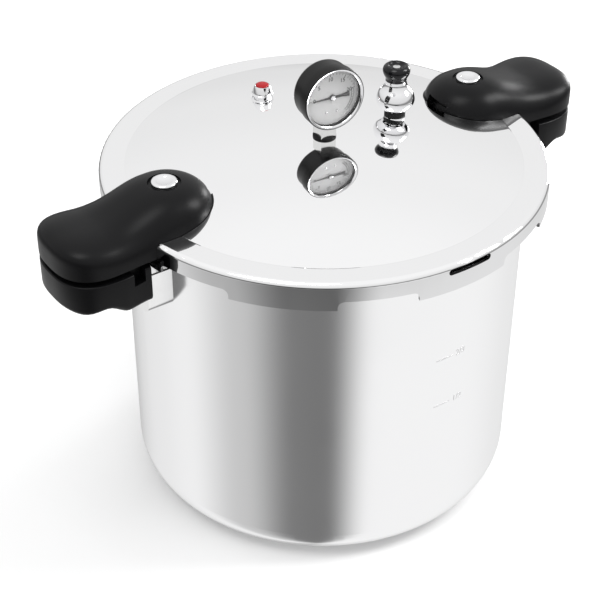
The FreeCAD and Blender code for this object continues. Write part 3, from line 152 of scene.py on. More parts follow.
room = add(tree, "ShaderNodeMix", data_type="RGBA")
background = add(tree, "ShaderNodeBackground")
out = add(tree, "ShaderNodeOutputWorld")
link_all(tree, [
    (direction.outputs["Generated"], split.inputs[0]),
    (split.outputs["Y"], bearing.inputs[0]),
    (split.outputs["X"], bearing.inputs[1]),
    (bearing.outputs[0], from_strip.inputs[0]),
    (from_strip.outputs[0], wrapped.inputs[0]),
    (wrapped.outputs[0], share.inputs["Value"]),
    (share.outputs["Result"], strip.inputs["Fac"]),
    (split.outputs["Z"], depth.inputs[0]),
    (depth.outputs[0], skirting.inputs["Fac"]),
    (strip.outputs["Color"], below.inputs["A"]),
    (skirting.outputs["Color"], below.inputs["B"]),
    (split.outputs["Z"], ceiling.inputs["Fac"]),
    (split.outputs["Z"], height.inputs["Value"]),
    (height.outputs["Result"], room.inputs["Factor"]),
    (below.outputs["Result"], room.inputs["A"]),
    (ceiling.outputs["Color"], room.inputs["B"]),
    (room.outputs["Result"], background.inputs["Color"]),
    (background.outputs[0], out.inputs["Surface"]),
])
print("the strip's bearing is", round(STRIP_BEARING, 1), "degrees")

# %% Soft boxes
LIGHTS_AIM = Vector((0.0, 0.0, 0.20))
BOX_ASPECT = 1.4
SOFT_BOXES = {
    "soft_box_right": {"place": (1.45, -0.75, 1.5), "size": 0.7, "watts": 24.0},
    "soft_box_back": {"place": (2.0, 0.6, 0.35), "size": 0.6, "watts": 22.0},
    "soft_box_top": {"place": (-0.7, -0.2, 2.1), "size": 0.8, "watts": 12.0},
}
for name, box in SOFT_BOXES.items():
    lamp = bpy.data.lights.new(name, "AREA")
    lamp.shape = "RECTANGLE"
    lamp.size = box["size"]
    lamp.size_y = box["size"] * BOX_ASPECT
    lamp.energy = box["watts"]
    holder = bpy.data.objects.new(name, lamp)
    bpy.context.scene.collection.objects.link(holder)
    holder.location = box["place"]
    holder.rotation_euler = (LIGHTS_AIM - holder.location).to_track_quat("-Z", "Y").to_euler()
print("soft boxes:", len(SOFT_BOXES))

# %% [markdown]
# ## Finishes
# The effects that several finishes share are node groups, built once: fine polishing lines, the even grain
# of moulded plastic, and the faint clouding that handling leaves on a polished surface. Each puts out a
# value that changes over the surface, and the material decides what it does with it.

# %% Groups of nodes
def new_group(name, inputs):
    """An empty group with float inputs (name, default) and one float output, Value, and its two end nodes."""
    group = bpy.data.node_groups.new(name, "ShaderNodeTree")
    for label, default in inputs:
        socket = group.interface.new_socket(label, in_out="INPUT", socket_type="NodeSocketFloat")
        socket.default_value = default
    group.interface.new_socket("Value", in_out="OUTPUT", socket_type="NodeSocketFloat")
    return group, add(group, "NodeGroupInput"), add(group, "NodeGroupOutput")


def clouding_group():
    """Soft patches from Low to High, as breath or handling leaves on metal and plastic."""
    group, given, result = new_group("clouding", [("Scale", 12.0), ("Low", 0.1), ("High", 0.2)])
    place = add(group, "ShaderNodeTexCoord")
    noise = add(group, "ShaderNodeTexNoise", inputs={"Detail": 4.0, "Roughness": 0.55})
    spread = add(group, "ShaderNodeMapRange", inputs={"From Min": 0.3, "From Max": 0.7})
    link_all(group, [
        (place.outputs["Object"], noise.inputs["Vector"]),
        (given.outputs["Scale"], noise.inputs["Scale"]),
        (noise.outputs["Fac"], spread.inputs["Value"]),
        (given.outputs["Low"], spread.inputs["To Min"]),
        (given.outputs["High"], spread.inputs["To Max"]),
        (spread.outputs["Result"], result.inputs["Value"]),
    ])
    return group


def hoop_lines_group():
    """Fine lines that run around the Z axis: by height on a wall, and by distance from the axis on a disc."""
    group, given, result = new_group("hoop_lines", [("Lines per metre", 900.0), ("Waver", 3.0)])
    place = add(group, "ShaderNodeTexCoord")
    split = add(group, "ShaderNodeSeparateXYZ")
    flat = add(group, "ShaderNodeCombineXYZ")
    reach = add(group, "ShaderNodeVectorMath", operation="LENGTH")
    across = add(group, "ShaderNodeMath", operation="ADD")
    many = add(group, "ShaderNodeMath", operation="MULTIPLY")
    waver_x = add(group, "ShaderNodeMath", operation="MULTIPLY")
    waver_y = add(group, "ShaderNodeMath", operation="MULTIPLY")
    together = add(group, "ShaderNodeCombineXYZ")
    noise = add(group, "ShaderNodeTexNoise", inputs={"Scale": 1.0, "Detail": 3.0, "Roughness": 0.7})
    link_all(group, [
        (place.outputs["Object"], split.inputs[0]),
        (split.outputs["X"], flat.inputs["X"]),
        (split.outputs["Y"], flat.inputs["Y"]),
        (flat.outputs[0], reach.inputs[0]),
        (reach.outputs["Value"], across.inputs[0]),
        (split.outputs["Z"], across.inputs[1]),
        (across.outputs[0], many.inputs[0]),
        (given.outputs["Lines per metre"], many.inputs[1]),
        (split.outputs["X"], waver_x.inputs[0]),
        (given.outputs["Waver"], waver_x.inputs[1]),
        (split.outputs["Y"], waver_y.inputs[0]),
        (given.outputs["Waver"], waver_y.inputs[1]),
        (waver_x.outputs[0], together.inputs["X"]),
        (waver_y.outputs[0], together.inputs["Y"]),
        (many.outputs[0], together.inputs["Z"]),
        (together.outputs[0], noise.inputs["Vector"]),
        (noise.outputs["Fac"], result.inputs["Value"]),
    ])
    return group


def grain_group():
    """An even grain, fine and shallow, as a mould's blasted surface leaves on a moulding."""
    group, given, result = new_group("grain", [("Scale", 1500.0)])
    place = add(group, "ShaderNodeTexCoord")
    fine = add(group, "ShaderNodeTexNoise", inputs={"Detail": 2.0, "Roughness": 0.5})
    link_all(group, [
        (place.outputs["Object"], fine.inputs["Vector"]),
        (given.outputs["Scale"], fine.inputs["Scale"]),
        (fine.outputs["Fac"], result.inputs["Value"]),
    ])
    return group


CLOUDING = clouding_group()
HOOP_LINES = hoop_lines_group()
GRAIN = grain_group()
print("groups:", CLOUDING.name, HOOP_LINES.name, GRAIN.name)

# %% One way to start every finish
def new_finish(name, colour, metallic=0.0, roughness=0.5, **sockets):
    """A material and its Principled shader, with plain values on the shader's own sockets."""
    material = bpy.data.materials.new(name)
    material.use_nodes = True
    tree = material.node_tree
    shader = tree.nodes["Principled BSDF"]
    shader.inputs["Base Color"].default_value = (*colour, 1.0)
    shader.inputs["Metallic"].default_value = metallic
    shader.inputs["Roughness"].default_value = roughness
    for socket, setting in sockets.items():
        shader.inputs[socket.replace("_", " ")].default_value = setting
    return material, tree, shader


def use_group(tree, group, **settings):
    """A copy of a shared group in a material, with its own values."""
    node = add(tree, "ShaderNodeGroup", node_tree=group)
    for name, setting in settings.items():
        node.inputs[name.replace("_", " ")].default_value = setting
    return node


def cloud_roughness(tree, shader, scale, low, high):
    """Let the roughness drift between two values in soft patches."""
    cloud = use_group(tree, CLOUDING, Scale=scale, Low=low, High=high)
    tree.links.new(cloud.outputs["Value"], shader.inputs["Roughness"])


def raise_surface(tree, shader, height, depth, strength=1.0):
    """Bump the surface by a value, depth in metres."""
    bump = add(tree, "ShaderNodeBump", inputs={"Strength": strength, "Distance": depth})
    link_all(tree, [(height, bump.inputs["Height"]), (bump.outputs["Normal"], shader.inputs["Normal"])])


# %% [markdown]
# ### Polished aluminium
# The pot is drawn and buffed while it turns, so it has very fine lines around it and a slightly softened
# reflection. The lid is buffed to a mirror, with a fine crease pressed around it where the flat rim meets
# the dome and a skirt that leans out towards its edge. Both keep the metal's own colour, and only roughness
# and relief change from place to place.

# %% Metals
def buffed_aluminium(name, colour, low, high, lines, depth, anisotropic=0.0):
    """A metal buffed as it turns: its roughness drifts from low to high, under fine shallow lines."""
    material, tree, shader = new_finish(name, colour, metallic=1.0, Anisotropic=anisotropic)
    cloud_roughness(tree, shader, 9.0, low, high)
    hoops = use_group(tree, HOOP_LINES, Lines_per_metre=lines, Waver=4.0)
    raise_surface(tree, shader, hoops.outputs["Value"], depth)
    return material


def add_crease(material, reach, width, depth):
    """Press a shallow ring into a finish, at a distance from the Z axis, in metres."""
    tree = material.node_tree
    shader = tree.nodes["Principled BSDF"]
    place = add(tree, "ShaderNodeTexCoord")
    split = add(tree, "ShaderNodeSeparateXYZ")
    flat = add(tree, "ShaderNodeCombineXYZ")
    away = add(tree, "ShaderNodeVectorMath", operation="LENGTH")
    off = add(tree, "ShaderNodeMath", operation="SUBTRACT", inputs={1: reach})
    near = add(tree, "ShaderNodeMath", operation="ABSOLUTE")
    groove = add(tree, "ShaderNodeMapRange", interpolation_type="SMOOTHSTEP", inputs={"From Max": width})
    bump = add(tree, "ShaderNodeBump", inputs={"Strength": 1.0, "Distance": depth})
    earlier = shader.inputs["Normal"].links[0].from_socket
    link_all(tree, [
        (place.outputs["Object"], split.inputs[0]),
        (split.outputs["X"], flat.inputs["X"]),
        (split.outputs["Y"], flat.inputs["Y"]),
        (flat.outputs[0], away.inputs[0]),
        (away.outputs["Value"], off.inputs[0]),
        (off.outputs[0], near.inputs[0]),
        (near.outputs[0], groove.inputs["Value"]),
        (groove.outputs["Result"], bump.inputs["Height"]),
        (earlier, bump.inputs["Normal"]),
        (bump.outputs["Normal"], shader.inputs["Normal"]),
    ])


def lean_out(material, level, slope):
    """Shade a wall below a level as if it leaned out towards its lower edge, as a pressed skirt does."""
    tree = material.node_tree
    shader = tree.nodes["Principled BSDF"]
    place = add(tree, "ShaderNodeTexCoord")
    split = add(tree, "ShaderNodeSeparateXYZ")
    under = add(tree, "ShaderNodeMath", operation="MINIMUM", inputs={1: level})
    fall = add(tree, "ShaderNodeMath", operation="MULTIPLY", inputs={1: -slope})
    bump = add(tree, "ShaderNodeBump", inputs={"Strength": 1.0, "Distance": 1.0})
    earlier = shader.inputs["Normal"].links[0].from_socket
    link_all(tree, [
        (place.outputs["Object"], split.inputs[0]),
        (split.outputs["Z"], under.inputs[0]),
        (under.outputs[0], fall.inputs[0]),
        (fall.outputs[0], bump.inputs["Height"]),
        (earlier, bump.inputs["Normal"]),
        (bump.outputs["Normal"], shader.inputs["Normal"]),
    ])


def turned_metal(name, colour, roughness, lines=2500.0, depth=2e-6):
    """The same for a small turned or plated fitting, clouded around one roughness."""
    material, tree, shader = new_finish(name, colour, metallic=1.0)
    cloud_roughness(tree, shader, 60.0, roughness * 0.8, roughness * 1.3)
    hoops = use_group(tree, HOOP_LINES, Lines_per_metre=lines, Waver=40.0)
    raise_surface(tree, shader, hoops.outputs["Value"], depth)
    return material


FINISHES = {
    "polished_pot": buffed_aluminium("polished_pot", (0.93, 0.93, 0.935), 0.13, 0.18, 1400.0, 4e-6, 0.5),
    "polished_lid": buffed_aluminium("polished_lid", (0.95, 0.95, 0.955), 0.02, 0.05, 700.0, 1e-7),
    "rack_aluminium": buffed_aluminium("rack_aluminium", (0.80, 0.80, 0.80), 0.32, 0.45, 1800.0, 8e-6),
    "plated_fitting": turned_metal("plated_fitting", (0.80, 0.80, 0.79), 0.12),
    "bright_chrome": turned_metal("bright_chrome", (0.90, 0.90, 0.91), 0.05, depth=4e-7),
    "steel_fastener": turned_metal("steel_fastener", (0.70, 0.70, 0.70), 0.22),
    "bracket_steel": turned_metal("bracket_steel", (0.88, 0.88, 0.88), 0.14, lines=900.0),
    "movement_brass": turned_metal("movement_brass", (0.75, 0.56, 0.27), 0.25),
}
LID_LOW, LID_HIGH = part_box("lid_shell")
SKIRT = LID_HIGH.x
SKIRT_DROP = 21.8 * MM
EDGE_ROUND = 4.0 * MM
CREASE = SKIRT - 20.0 * MM
add_crease(FINISHES["polished_lid"], CREASE, width=0.8 * MM, depth=0.06 * MM)
lean_out(FINISHES["polished_lid"], LID_LOW.z + SKIRT_DROP - EDGE_ROUND, slope=0.10)
print("metal finishes:", len(FINISHES))

# %% [markdown]
# ### Mouldings, enamel, print and glass
# The handles are a satin black moulding: a broad soft highlight over a very fine grain. The weight's knob
# is the same black polished. The seals are matt rubber, the gauge's case is enamelled and its lens clear.

# %% Plastics, rubber and paint
def moulding(name, colour, low, high, grain, depth, **sockets):
    """A moulded or painted finish: its roughness drifts from low to high, over an even grain."""
    material, tree, shader = new_finish(name, colour, **sockets)
    cloud_roughness(tree, shader, 25.0, low, high)
    fine = use_group(tree, GRAIN, Scale=grain)
    raise_surface(tree, shader, fine.outputs["Value"], depth)
    return material


FINISHES.update({
    "satin_black_handle": moulding("satin_black_handle", (0.004, 0.004, 0.0045), 0.30, 0.38, 2600.0, 2e-5,
                                   Specular_IOR_Level=0.15),
    "gloss_black": moulding("gloss_black", (0.005, 0.005, 0.006), 0.12, 0.18, 900.0, 2e-6,
                            Specular_IOR_Level=0.30),
    "black_rubber": moulding("black_rubber", (0.010, 0.010, 0.010), 0.50, 0.70, 1800.0, 2e-5,
                             Specular_IOR_Level=0.20),
    "red_button": moulding("red_button", (0.36, 0.004, 0.008), 0.12, 0.20, 900.0, 3e-6,
                           Specular_IOR_Level=0.35),
    "gauge_black": moulding("gauge_black", (0.006, 0.006, 0.006), 0.26, 0.34, 1200.0, 6e-6,
                            Specular_IOR_Level=0.28),
    "dial_white": moulding("dial_white", (0.68, 0.68, 0.68), 0.38, 0.48, 1500.0, 2e-6),
    "pointer_black": moulding("pointer_black", (0.05, 0.05, 0.05), 0.40, 0.50, 1500.0, 3e-6),
    "dial_ink": moulding("dial_ink", (0.05, 0.05, 0.05), 0.45, 0.60, 1500.0, 2e-6),
})
glass, _, glass_shader = new_finish("gauge_glass", (1.0, 1.0, 1.0), roughness=0.0, IOR=1.45)
glass_shader.inputs["Transmission Weight"].default_value = 1.0
FINISHES["gauge_glass"] = glass
print("all finishes:", len(FINISHES))

# %% Finishes on the CAD pieces
for name, node in frame["nodes"].items():
    for socket in node.material_slots:
        socket.material = FINISHES[socket.material.name.split(".")[0]]
print("finished nodes:", len(frame["nodes"]))

# %% [markdown]
# ## Lid handles
# Each handle is one satin moulding: a round nose over the fixing screw, a slight waist and a broad blunt
# grip, with a soft crown all the way along. It could be a block with rounded edges, but the crown changes
# along the handle. So it is made from a rib, the outline of half a cross-section, which is drawn along one
# side, swung around the grip's end, drawn back and swung around the nose. The closed shape is then waisted
# and lowered towards the grip, and its foot is lifted onto the lid where it lies on it. The screw's recess
# and the slot in the nose are cut out last.

# %% The lid's outer surface
DOME_RADIUS = 690.0 * MM


def lid_surface(reach):
    """Height of the lid's outer surface at a distance from its axis: the dome, then the level rim."""
    return LID_HIGH.z - DOME_RADIUS + math.sqrt(DOME_RADIUS ** 2 - min(reach, CREASE) ** 2)


print("the lid's rim is at", round(lid_surface(SKIRT) / MM, 1), "mm")


# %% Working with a new piece
def new_piece(name, mesh, body, finish, sharp_degrees=35.0):
    """Turn a bmesh into a smooth-shaded object that rides on a body and fills one of its material slots."""
    data = bpy.data.meshes.new(name)
    mesh.to_mesh(data)
    mesh.free()
    data.shade_smooth()
    data.set_sharp_from_angle(angle=math.radians(sharp_degrees))
    piece = bpy.data.objects.new(name, data)
    bpy.context.scene.collection.objects.link(piece)
    data.materials.append(FINISHES[finish])
    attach(piece, body)
    return piece


def box_cutter(centre, size):
    """A block around its centre."""
    cutter = bmesh.new()
    bmesh.ops.create_cube(cutter, size=1.0)
    bmesh.ops.scale(cutter, verts=cutter.verts, vec=size)
    bmesh.ops.translate(cutter, verts=cutter.verts, vec=centre)
    return cutter


def round_cutter(radius, length, moves):
    """An upright cylinder around the origin, taken through a list of moves in their order."""
    cutter = bmesh.new()
    bmesh.ops.create_cone(cutter, cap_ends=True, segments=96, radius1=radius, radius2=radius, depth=length)
    for move in moves:
        bmesh.ops.transform(cutter, matrix=move, verts=cutter.verts)
    return cutter


def cut_away(mesh, cutters):
    """The bmesh less each cutter's bmesh, as an exact boolean."""
    made = []
    for label, part in [("blank", mesh)] + [(f"cutter_{i}", cutter) for i, cutter in enumerate(cutters)]:
        data = bpy.data.meshes.new(label)
        part.to_mesh(data)
        part.free()
        holder = bpy.data.objects.new(label, data)
        bpy.context.scene.collection.objects.link(holder)
        made.append(holder)
    blank, tools = made[0], made[1:]
    for tool in tools:
        cut = blank.modifiers.new(tool.name, "BOOLEAN")
        cut.object = tool
        cut.solver = "EXACT"
        cut.use_self = True
        cut.use_hole_tolerant = True
    graph = bpy.context.evaluated_depsgraph_get()
    result = bmesh.new()
    result.from_mesh(blank.evaluated_get(graph).to_mesh())
    for holder in made:
        bpy.data.objects.remove(holder)
    return result


# %% The handle's rib
# The wall stands upright for WALL_SHARE of the height, and the crown above it is a superellipse.
WALL_SHARE = 0.22
CROWN_POWER = 2.7
RIB_STEPS = 22
FOOT_SHARES = (0.0, 0.4, 0.7, 0.94, 1.0)


def chain(mesh, spots):
    """Join (across, up) spots by edges, on the near side of the XZ plane."""
    corners = [mesh.verts.new((0.0, -across, up)) for across, up in spots]
    for start, end in zip(corners, corners[1:]):
        mesh.edges.new((start, end))
    return corners


def rib(mesh, reach, foot, top):
    """Half a cross-section: the underside from the middle out, the wall and the crown."""
    shoulder = foot + (top - foot) * WALL_SHARE
    spots = [(reach * share, foot) for share in FOOT_SHARES]
    for step in range(RIB_STEPS + 1):
        swing = math.pi / 2 * step / RIB_STEPS
        across = reach * math.cos(swing) ** (2 / CROWN_POWER)
        up = shoulder + (top - shoulder) * math.sin(swing) ** (2 / CROWN_POWER)
        spots.append((across, up))
    return chain(mesh, spots)


# %% Sweeping a rib into a handle along +X
TURN_STEPS = 36
SIDE_STEPS = 26
SEAM_GAP = 0.02 * MM


def smooth_share(low, high, at):
    """0 below low, 1 above high and a soft S between them."""
    share = min(1.0, max(0.0, (at - low) / (high - low)))
    return share * share * (3 - 2 * share)


def along_one_side(mesh, rim, start, end, from_reach, to_reach):
    """Draw a rib, given as its vertices and edges, along X while its reach across changes softly."""
    for step in range(1, SIDE_STEPS + 1):
        made = bmesh.ops.extrude_edge_only(mesh, edges=rim[1])["geom"]
        rim[0] = [part for part in made if isinstance(part, bmesh.types.BMVert)]
        rim[1] = [part for part in made if isinstance(part, bmesh.types.BMEdge) and part.is_boundary
                  and all(v in rim[0] for v in part.verts)]
        before = from_reach + (to_reach - from_reach) * smooth_share(0, 1, (step - 1) / SIDE_STEPS)
        after = from_reach + (to_reach - from_reach) * smooth_share(0, 1, step / SIDE_STEPS)
        bmesh.ops.translate(mesh, verts=rim[0], vec=((end - start) / SIDE_STEPS, 0, 0))
        bmesh.ops.scale(mesh, verts=rim[0], vec=(1, after / before, 1))


def half_round(mesh, rim, place):
    """Swing a rib half a turn about an upright line on the X axis."""
    made = bmesh.ops.spin(mesh, geom=rim[0] + rim[1], cent=(place, 0, 0), axis=(0, 0, 1), angle=math.pi,
                          steps=TURN_STEPS)["geom_last"]
    rim[0] = [part for part in made if isinstance(part, bmesh.types.BMVert)]
    rim[1] = [part for part in made if isinstance(part, bmesh.types.BMEdge)]


def out_and_back(mesh, corners, start_place, end_place, start_reach, end_reach):
    """Sweep a rib out along one side, around the grip's end and back along the other side."""
    rim = [corners, list(mesh.edges)]
    bmesh.ops.translate(mesh, verts=corners, vec=(start_place, 0, 0))
    along_one_side(mesh, rim, start_place, end_place, start_reach, end_reach)
    half_round(mesh, rim, end_place)
    along_one_side(mesh, rim, end_place, start_place, end_reach, start_reach)
    return rim


def tidy_shell(mesh):
    """Merge the seams, close what is open and turn every face outwards."""
    bmesh.ops.remove_doubles(mesh, verts=mesh.verts, dist=SEAM_GAP)
    open_edges = [edge for edge in mesh.edges if edge.is_boundary]
    bmesh.ops.holes_fill(mesh, edges=open_edges, sides=0)
    bmesh.ops.recalc_face_normals(mesh, faces=mesh.faces)


def handle_blank(box_low, box_high, nose_place):
    """The closed moulding of a lid handle that reaches out along +X."""
    nose = nose_place - box_low.x
    mesh = bmesh.new()
    corners = rib(mesh, nose, box_low.z, box_high.z)
    rim = out_and_back(mesh, corners, nose_place, box_high.x - box_high.y, nose, box_high.y)
    half_round(mesh, rim, nose_place)
    tidy_shell(mesh)
    return mesh


# %% Shaping a handle
# The grip's end is a superellipse in plan. Places along it run from 0 at the fixing screw to 1 at the end.
END_POWER = 2.7
HANDLE_CLEAR = 0.25 * MM
WAIST_DEPTH, WAIST_PLACE, WAIST_LENGTH = 0.045, 0.42, 0.22
DIP_FROM, DIP_TO = 0.05, 0.62
END_RISE = 2.2 * MM
SQUARE_END, SQUARE_FROM = 0.42, 0.55
SLACK_WAIST, SLACK_PLACE, SLACK_LENGTH = 0.30, 0.38, 0.20


def bell(at, place, length):
    """A soft bump, 1 at its place and falling off over a length."""
    return math.exp(-((at - place) / length) ** 2)


def blunt_end(mesh, end_place):
    """Turn the grip's round end into a blunter one, with rounded corners, by pushing its corners out."""
    for vert in mesh.verts:
        out, across = vert.co.x - end_place, abs(vert.co.y)
        away = math.hypot(out, across)
        if out <= 0 or away < 1e-6:
            continue
        push = ((out / away) ** END_POWER + (across / away) ** END_POWER) ** (-1 / END_POWER)
        vert.co.x = end_place + out * push
        vert.co.y *= push


def shape_handle(mesh, box_low, box_high, nose_place, dip):
    """Blunt the end, waist the sides, lower the grip, and lift the foot clear of the lid it lies on."""
    foot, top = box_low.z, box_high.z
    reach = box_high.x - nose_place
    blunt_end(mesh, box_high.x - box_high.y)
    for vert in mesh.verts:
        along = (vert.co.x - nose_place) / reach
        vert.co.y *= 1.0 - WAIST_DEPTH * bell(along, WAIST_PLACE, WAIST_LENGTH)
        drop = dip * smooth_share(DIP_FROM, DIP_TO, along) - END_RISE * smooth_share(DIP_TO, 1.0, along)
        squarer = SQUARE_END * smooth_share(SQUARE_FROM, 1.0, along)
        squarer -= SLACK_WAIST * bell(along, SLACK_PLACE, SLACK_LENGTH)
        share = max((vert.co.z - foot) / (top - foot), 0.0) ** (1.0 - squarer)
        vert.co.z = foot + (top - foot - drop) * share
        away = math.hypot(vert.co.x, vert.co.y)
        if share < 0.5 and away < SKIRT + HANDLE_CLEAR:
            vert.co.z = max(vert.co.z, lid_surface(away) + HANDLE_CLEAR)
    print("shaped a lid handle of", len(mesh.verts), "corners")


# %% Both lid handles
LID_HANDLE_DIP = 13.0 * MM
CAP_HEIGHT = 3.2 * MM
RECESS_RADIUS = 12.3 * MM
RECESS_CUT = 40.0 * MM
SLOT = Vector((20.0, 22.0, 5.0)) * MM
SLOT_SINK = 1.0 * MM
HALF_TURN = Matrix.Rotation(math.pi, 4, "Z")
LAID_ALONG_X = Matrix.Rotation(math.pi / 2, 4, "Y")


def lid_handle(side):
    box_low, box_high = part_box("lid_handle_right")
    screw_low, screw_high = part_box("lid_cap_screw_right")
    nose_place = (screw_low.x + screw_high.x) / 2
    mesh = handle_blank(box_low, box_high, nose_place)
    shape_handle(mesh, box_low, box_high, nose_place, LID_HANDLE_DIP)
    recess_middle = (nose_place, 0, screw_high.z - CAP_HEIGHT + RECESS_CUT / 2)
    recess = round_cutter(RECESS_RADIUS, RECESS_CUT, [Matrix.Translation(recess_middle)])
    slot_middle = Vector((box_low.x, 0, lid_surface(box_low.x) + SLOT.z / 2 - SLOT_SINK))
    slot = box_cutter(slot_middle, SLOT + Vector((0, 0, 2 * SLOT_SINK)))
    mesh = cut_away(mesh, [recess, slot])
    if side == "left":
        bmesh.ops.transform(mesh, matrix=HALF_TURN, verts=mesh.verts)
    piece = new_piece(f"lid_handle_{side}_moulding", mesh, "lid", "satin_black_handle")
    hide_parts(f"lid_handle_{side}")
    return piece


for side in ("left", "right"):
    handle = lid_handle(side)
    print(handle.name, len(handle.data.polygons), "faces")

# %% [markdown]
# ## Pot handles
# The handle below is the same kind of moulding. Its flat top lies just under the lid's handle. Its
# underside arches for the fingers, between the boss, where two screws hold it to the bracket, and a full
# belly at the end. It is swept like the lid's handle but from a plainer rib, and the underside is then let
# down by a soft curve along it.

# %% The pot handle's rib
LOWER_ROUND = 7.0 * MM
UPPER_ROUND = 1.2 * MM
ROUND_STEPS = 8
FLAT_SHARES = (0.0, 0.4, 0.7)


def pot_rib(mesh, reach, foot, top):
    """Half a cross-section from the middle of the underside, round both edges, to the middle of the top."""
    spots = [(reach * share, foot) for share in FLAT_SHARES]
    rounds = ((foot + LOWER_ROUND, LOWER_ROUND, -math.pi / 2), (top - UPPER_ROUND, UPPER_ROUND, 0.0))
    for centre_up, size, first in rounds:
        for step in range(ROUND_STEPS + 1):
            swing = first + math.pi / 2 * step / ROUND_STEPS
            spots.append((reach - size + size * math.cos(swing), centre_up + size * math.sin(swing)))
    spots += [(reach * share, top) for share in reversed(FLAT_SHARES)]
    return chain(mesh, spots)


# %% Both pot handles
# UNDERSIDE is the depth under the flat top by the distance out from the pot, in millimetres.
BOSS_HALF = 35.0 * MM
UNDERSIDE = [(0.0, 31.0), (19.0, 31.0), (36.0, 23.0), (52.0, 26.5), (63.0, 25.0)]
NOTCH = Vector((10.0, 12.0, 11.0)) * MM
NOTCH_INSET = 5.0 * MM
NOTCH_OUT = 0.5 * MM
NOTCH_OVER = 1.0 * MM
SCREW_HEAD = 3.2 * MM
MOUTH_RADIUS = 5.0 * MM
MOUTH_REACH = 40.0 * MM


def underside_depth(out):
    """How far the underside lies below the flat top, at a distance out from the boss's inner face."""
    for (start, first), (end, last) in zip(UNDERSIDE, UNDERSIDE[1:]):
        if out <= end * MM:
            return (first + (last - first) * smooth_share(start * MM, end * MM, out)) * MM
    return UNDERSIDE[-1][1] * MM


def pot_handle(side):
    box_low, box_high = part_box("pot_handle_right")
    inner, top, foot = box_low.x, box_high.z, box_low.z
    mesh = bmesh.new()
    corners = pot_rib(mesh, BOSS_HALF, foot, top)
    out_and_back(mesh, corners, inner, box_high.x - box_high.y, BOSS_HALF, box_high.y)
    tidy_shell(mesh)
    blunt_end(mesh, box_high.x - box_high.y)
    for vert in mesh.verts:
        vert.co.z = top - (top - vert.co.z) * underside_depth(vert.co.x - inner) / (top - foot)
    screw_low, screw_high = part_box("pot_handle_screws_right")
    screw_level = (screw_low.z + screw_high.z) / 2
    screw_across = screw_high.y - (screw_high.z - screw_low.z) / 2
    mouth_from, mouth_to = screw_high.x - SCREW_HEAD, inner + MOUTH_REACH
    notch_place = inner + NOTCH_INSET + NOTCH.x / 2
    notch_across = box_high.y - NOTCH.y / 2 + NOTCH_OUT
    notch_level = top - NOTCH.z / 2 + NOTCH_OVER
    cutters = []
    for sign in (-1, 1):
        cutters.append(box_cutter(Vector((notch_place, sign * notch_across, notch_level)), NOTCH))
        mouth_middle = ((mouth_from + mouth_to) / 2, sign * screw_across, screw_level)
        moves = [LAID_ALONG_X, Matrix.Translation(mouth_middle)]
        cutters.append(round_cutter(MOUTH_RADIUS, mouth_to - mouth_from, moves))
    mesh = cut_away(mesh, cutters)
    if side == "left":
        bmesh.ops.transform(mesh, matrix=HALF_TURN, verts=mesh.verts)
    piece = new_piece(f"pot_handle_{side}_moulding", mesh, "pot", "satin_black_handle")
    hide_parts(f"pot_handle_{side}")
    return piece


for side in ("left", "right"):
    handle = pot_handle(side)
    print(handle.name, len(handle.data.polygons), "faces")

# %% [markdown]
# ## The gauge's front
# A pressed band holds the lens on: it is enamelled black like the case on its outside, and bare and bright
# where it turns in over the glass. It is a short profile spun around the gauge's axis, and the bright part
# is picked out by its distance from the axis. The dial's ticks and numerals are printed, so they are thin
# raised shapes on it.

# %% The gauge's own frame
pointer_joint = next(joint for joint in frame["joints"] if joint["name"] == "pointer_turn")
OUTWARD = -Vector(pointer_joint["axis"]).normalized()
GAUGE_CENTRE = Vector((0.0, 0.0, sum(corner.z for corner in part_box("gauge_bezel")) / 2))
BEZEL_RADIUS = (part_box("gauge_bezel")[1].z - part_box("gauge_bezel")[0].z) / 2


def depth_of(node):
    """How far a node's back and front lie along the gauge's axis from its centre."""
    reach = [(vert.co - GAUGE_CENTRE).dot(OUTWARD) for vert in frame["nodes"][node].data.vertices]
    return min(reach), max(reach)


SIDEWAYS = Vector((0, 0, 1)).cross(OUTWARD)
ON_DIAL = Matrix.Translation(GAUGE_CENTRE) @ Matrix((SIDEWAYS, (0, 0, 1), OUTWARD)).transposed().to_4x4()
dial_front = depth_of("gauge_dial")[1]
bezel_back, bezel_front = depth_of("gauge_bezel")
print("dial front at", round(dial_front / MM, 2), "mm, bezel front at", round(bezel_front / MM, 2), "mm")

# %% Spinning a profile
def spun(profile, place, steps=128):
    """A profile of (radius, height) corners in millimetres, spun right around Z and then put in place.

    It is closed into a loop, unless both of its ends are on the axis.
    """
    mesh = bmesh.new()
    corners = [mesh.verts.new((radius * MM, 0, up * MM)) for radius, up in profile]
    ends_on_axis = profile[0][0] == 0 and profile[-1][0] == 0
    following = corners[1:] if ends_on_axis else corners[1:] + corners[:1]
    edges = [mesh.edges.new((start, end)) for start, end in zip(corners, following)]
    bmesh.ops.spin(mesh, geom=corners + edges, cent=(0, 0, 0), axis=(0, 0, 1), angle=2 * math.pi, steps=steps,
                   use_merge=True)
    bmesh.ops.remove_doubles(mesh, verts=mesh.verts, dist=0.001 * MM)
    bmesh.ops.recalc_face_normals(mesh, faces=mesh.faces)
    bmesh.ops.transform(mesh, matrix=place, verts=mesh.verts)
    return mesh


